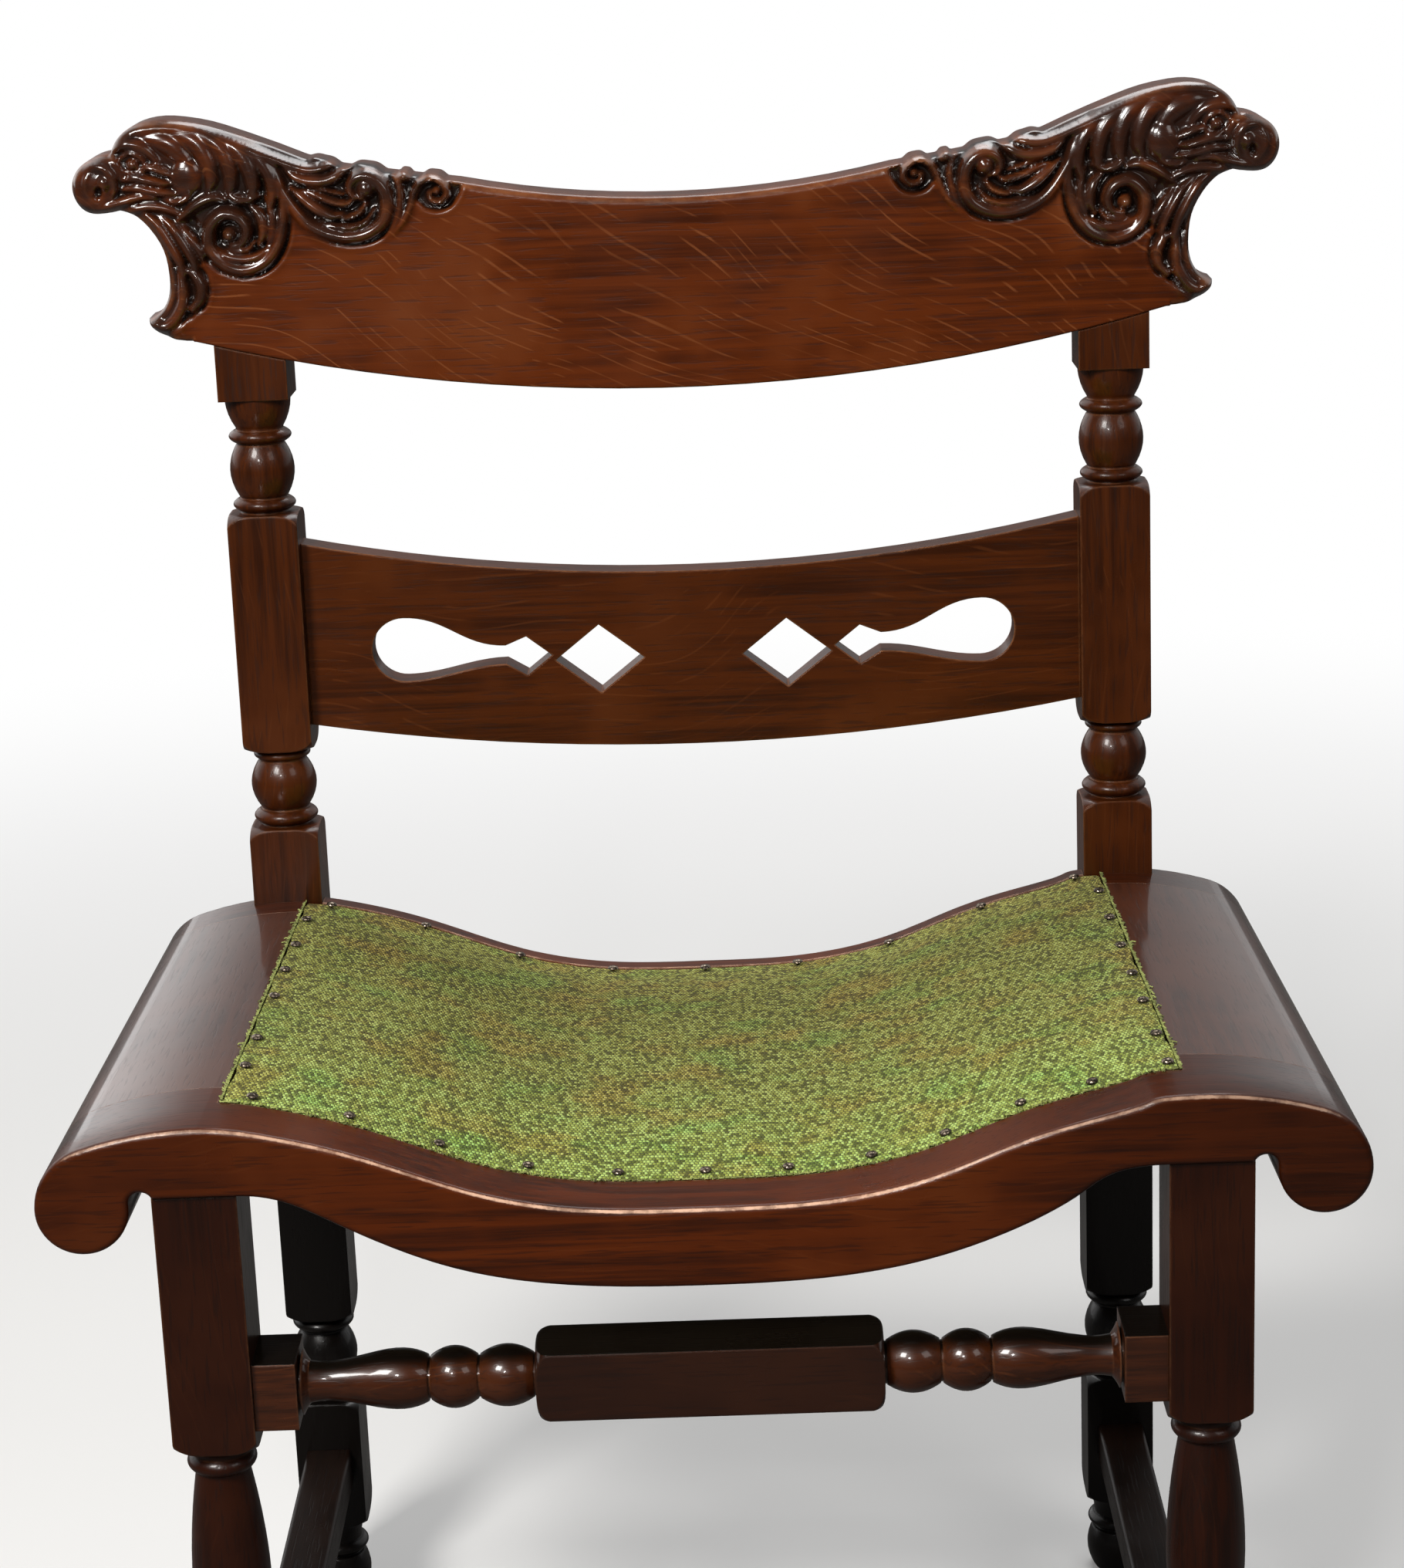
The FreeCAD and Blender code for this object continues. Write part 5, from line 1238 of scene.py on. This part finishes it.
for k, vertex in enumerate(cover.data.vertices):
    j, i = divmod(k, len(xs))
    rise = min(max(vertex.co.z - upper[j, i], 0.0), puff_most)
    settled = min(1, (ys[-1] - ys[j]) / rear_settle)
    out_x = (i == len(xs) - 1) - (i == 0)
    out_y = (j == len(ys) - 1) - (j == 0)
    x = xs[i] + out_x * ragged * rng.uniform(*ragged_range)
    y = ys[j] + out_y * ragged * rng.uniform(*ragged_range)
    vertex.co = (x, y, upper[j, i] + cover_lift * settled + rise * settled)
close_below(cover, xs, ys, lower)
bpy.ops.object.modifier_add(type="SUBSURF")
cover.modifiers[0].levels = 1
cover.modifiers[0].render_levels = 1
bpy.ops.object.modifier_apply(modifier=cover.modifiers[0].name)
dress(cover, tweed, "cover_cloth", "seat_cover")


# The fringe. Along the cut edge the outer yarn stands out in small loops, and loose ends lie over the wood
# beside it. Each is a thin tube that rests on what is under it.

loop_pitch = 2.9 * mm
loop_reach = 1.6 * mm
loop_root = 0.8 * mm
loop_lift = 0.25 * mm
loop_root_lift = 0.5 * mm
loop_stray = (-0.2, 0.2)
loop_reach_range = (0.35, 1.15)
loop_width_range = (0.3, 0.5)
thread_count = 130
thread_width = 0.45 * mm
thread_short = 1.5 * mm
thread_long = 4.0 * mm
thread_root = 0.6 * mm
thread_arch = 0.9 * mm
thread_slant = 0.5
thread_sides = 4
thread_steps = 4
bare_side = 150 * mm
furthest_wood = 7.0 * mm
look_from = 8.0 * mm
dark_yarn = (0.06, 0.06, 0.016, 1)
pale_yarn = (0.34, 0.38, 0.11, 1)

wooden_seat = [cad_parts[name] for name in ("seat_front_rail", "seat_rear_rail", "seat_wing_left",
                                                 "seat_wing_right", "back_post_left", "back_post_right")]
low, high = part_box("seat_cover")
side_x, side_y = high.x - low.x, high.y - low.y
points, faces, tones = [], [], []


def wood_top(x, y):
    """The height of the seat's wood at a place, or none where there is no wood."""
    found = []
    for board in wooden_seat:
        hit, spot, _, _ = board.ray_cast((x, y, high.z + look_from), (0, 0, -1))
        if hit:
            found.append(spot.z)
    return max(found) if found else None


def edge_place(walk):
    """A place on the cloth's cut edge and the way out from it, by the length walked round the edge."""
    if walk < side_x:
        return Vector((low.x + walk, low.y, 0)), Vector((0, -1, 0))
    if walk < side_x + side_y:
        return Vector((high.x, low.y + walk - side_x, 0)), Vector((1, 0, 0))
    if walk < 2 * side_x + side_y:
        return Vector((high.x - (walk - side_x - side_y), high.y, 0)), Vector((0, 1, 0))
    return Vector((low.x, high.y - (walk - 2 * side_x - side_y), 0)), Vector((-1, 0, 0))


def rest_height(x, y):
    """The height of what a thread lies on: the cloth's own edge, or the wood beside it."""
    i = int(np.abs(xs - x).argmin())
    j = int(np.abs(ys - y).argmin())
    cloth_top = upper[j, i] + cover_lift
    wood = wood_top(x, y) if x < low.x or x > high.x or y < low.y or y > high.y else None
    if wood is None or abs(wood - cloth_top) > furthest_wood:
        return cloth_top - mm
    return wood


def lay_thread(spine, tone):
    """A yarn as a thin tube along a line."""
    first = len(points)
    for step, centre in enumerate(spine):
        way = (spine[min(step + 1, thread_steps)] - spine[max(step - 1, 0)]).normalized()
        side = way.cross(Vector((0, 0, 1))).normalized()
        rise = side.cross(way)
        for k in range(thread_sides):
            a = 2 * math.pi * k / thread_sides
            points.append(centre + (side * math.cos(a) + rise * math.sin(a)) * thread_width)
    for step in range(thread_steps):
        for k in range(thread_sides):
            a, b = first + step * thread_sides + k, first + step * thread_sides + (k + 1) % thread_sides
            faces.append([a, b, b + thread_sides, a + thread_sides])
    faces.append([first + k for k in reversed(range(thread_sides))])
    faces.append([first + thread_steps * thread_sides + k for k in range(thread_sides)])
    tones.extend([tone] * (thread_sides * (thread_steps + 1)))


for number in range(int(2 * (side_x + side_y) / loop_pitch)):
    start, out = edge_place((number + rng.uniform(*loop_stray) + 0.5) * loop_pitch)
    if out.y > 0:
        continue
    along = Vector((-out.y, out.x, 0))
    reach = loop_reach * rng.uniform(*loop_reach_range)
    width = loop_pitch * rng.uniform(*loop_width_range)
    spine = []
    for step in range(thread_steps + 1):
        at_root = step in (0, thread_steps)
        turn = math.pi * step / thread_steps
        place = start - out * loop_root + along * width * math.cos(turn) + out * reach * math.sin(turn)
        under = rest_height(start.x, start.y) if at_root else rest_height(place.x, place.y)
        place.z = under + thread_width + (loop_root_lift if at_root else loop_lift)
        spine.append(place)
    lay_thread(spine, rng.uniform(0.25, 1))
for number in range(thread_count):
    start, out = edge_place(rng.uniform(0, 2 * (side_x + side_y) - mm))
    along = Vector((-out.y, out.x, 0))
    length = rng.uniform(thread_short, thread_long)
    if out.y > 0 or start.y > bare_side:
        continue
    slant = rng.normal(0, thread_slant)
    spine = []
    for step in range(thread_steps + 1):
        share = step / thread_steps
        way = (out + along * slant * (1 + share)).normalized()
        place = start + way * length * share - out * thread_root
        arch = thread_arch * math.sin(math.pi * share) * rng.uniform(0, 1)
        place.z = rest_height(place.x, place.y) + thread_width + arch
        spine.append(place)
    lay_thread(spine, rng.uniform(0, 1))
fringe_mesh = bpy.data.meshes.new("fringe")
fringe_mesh.from_pydata(points, [], faces)
fringe_mesh.attributes.new("tone", "FLOAT", "POINT").data.foreach_set("value", tones)
fringe = new_piece("fringe", fringe_mesh)
face_outwards(smooth_degrees=80)
thread_ends, tree, shader = fresh_material("thread_ends")
tone = node(tree, "Attribute", {"attribute_name": "tone"}).outputs["Fac"]
feed(shader, Base_Color=blend(tree, tone, dark_yarn, pale_yarn), Roughness=0.9)
dress(fringe, thread_ends, "cover_cloth")
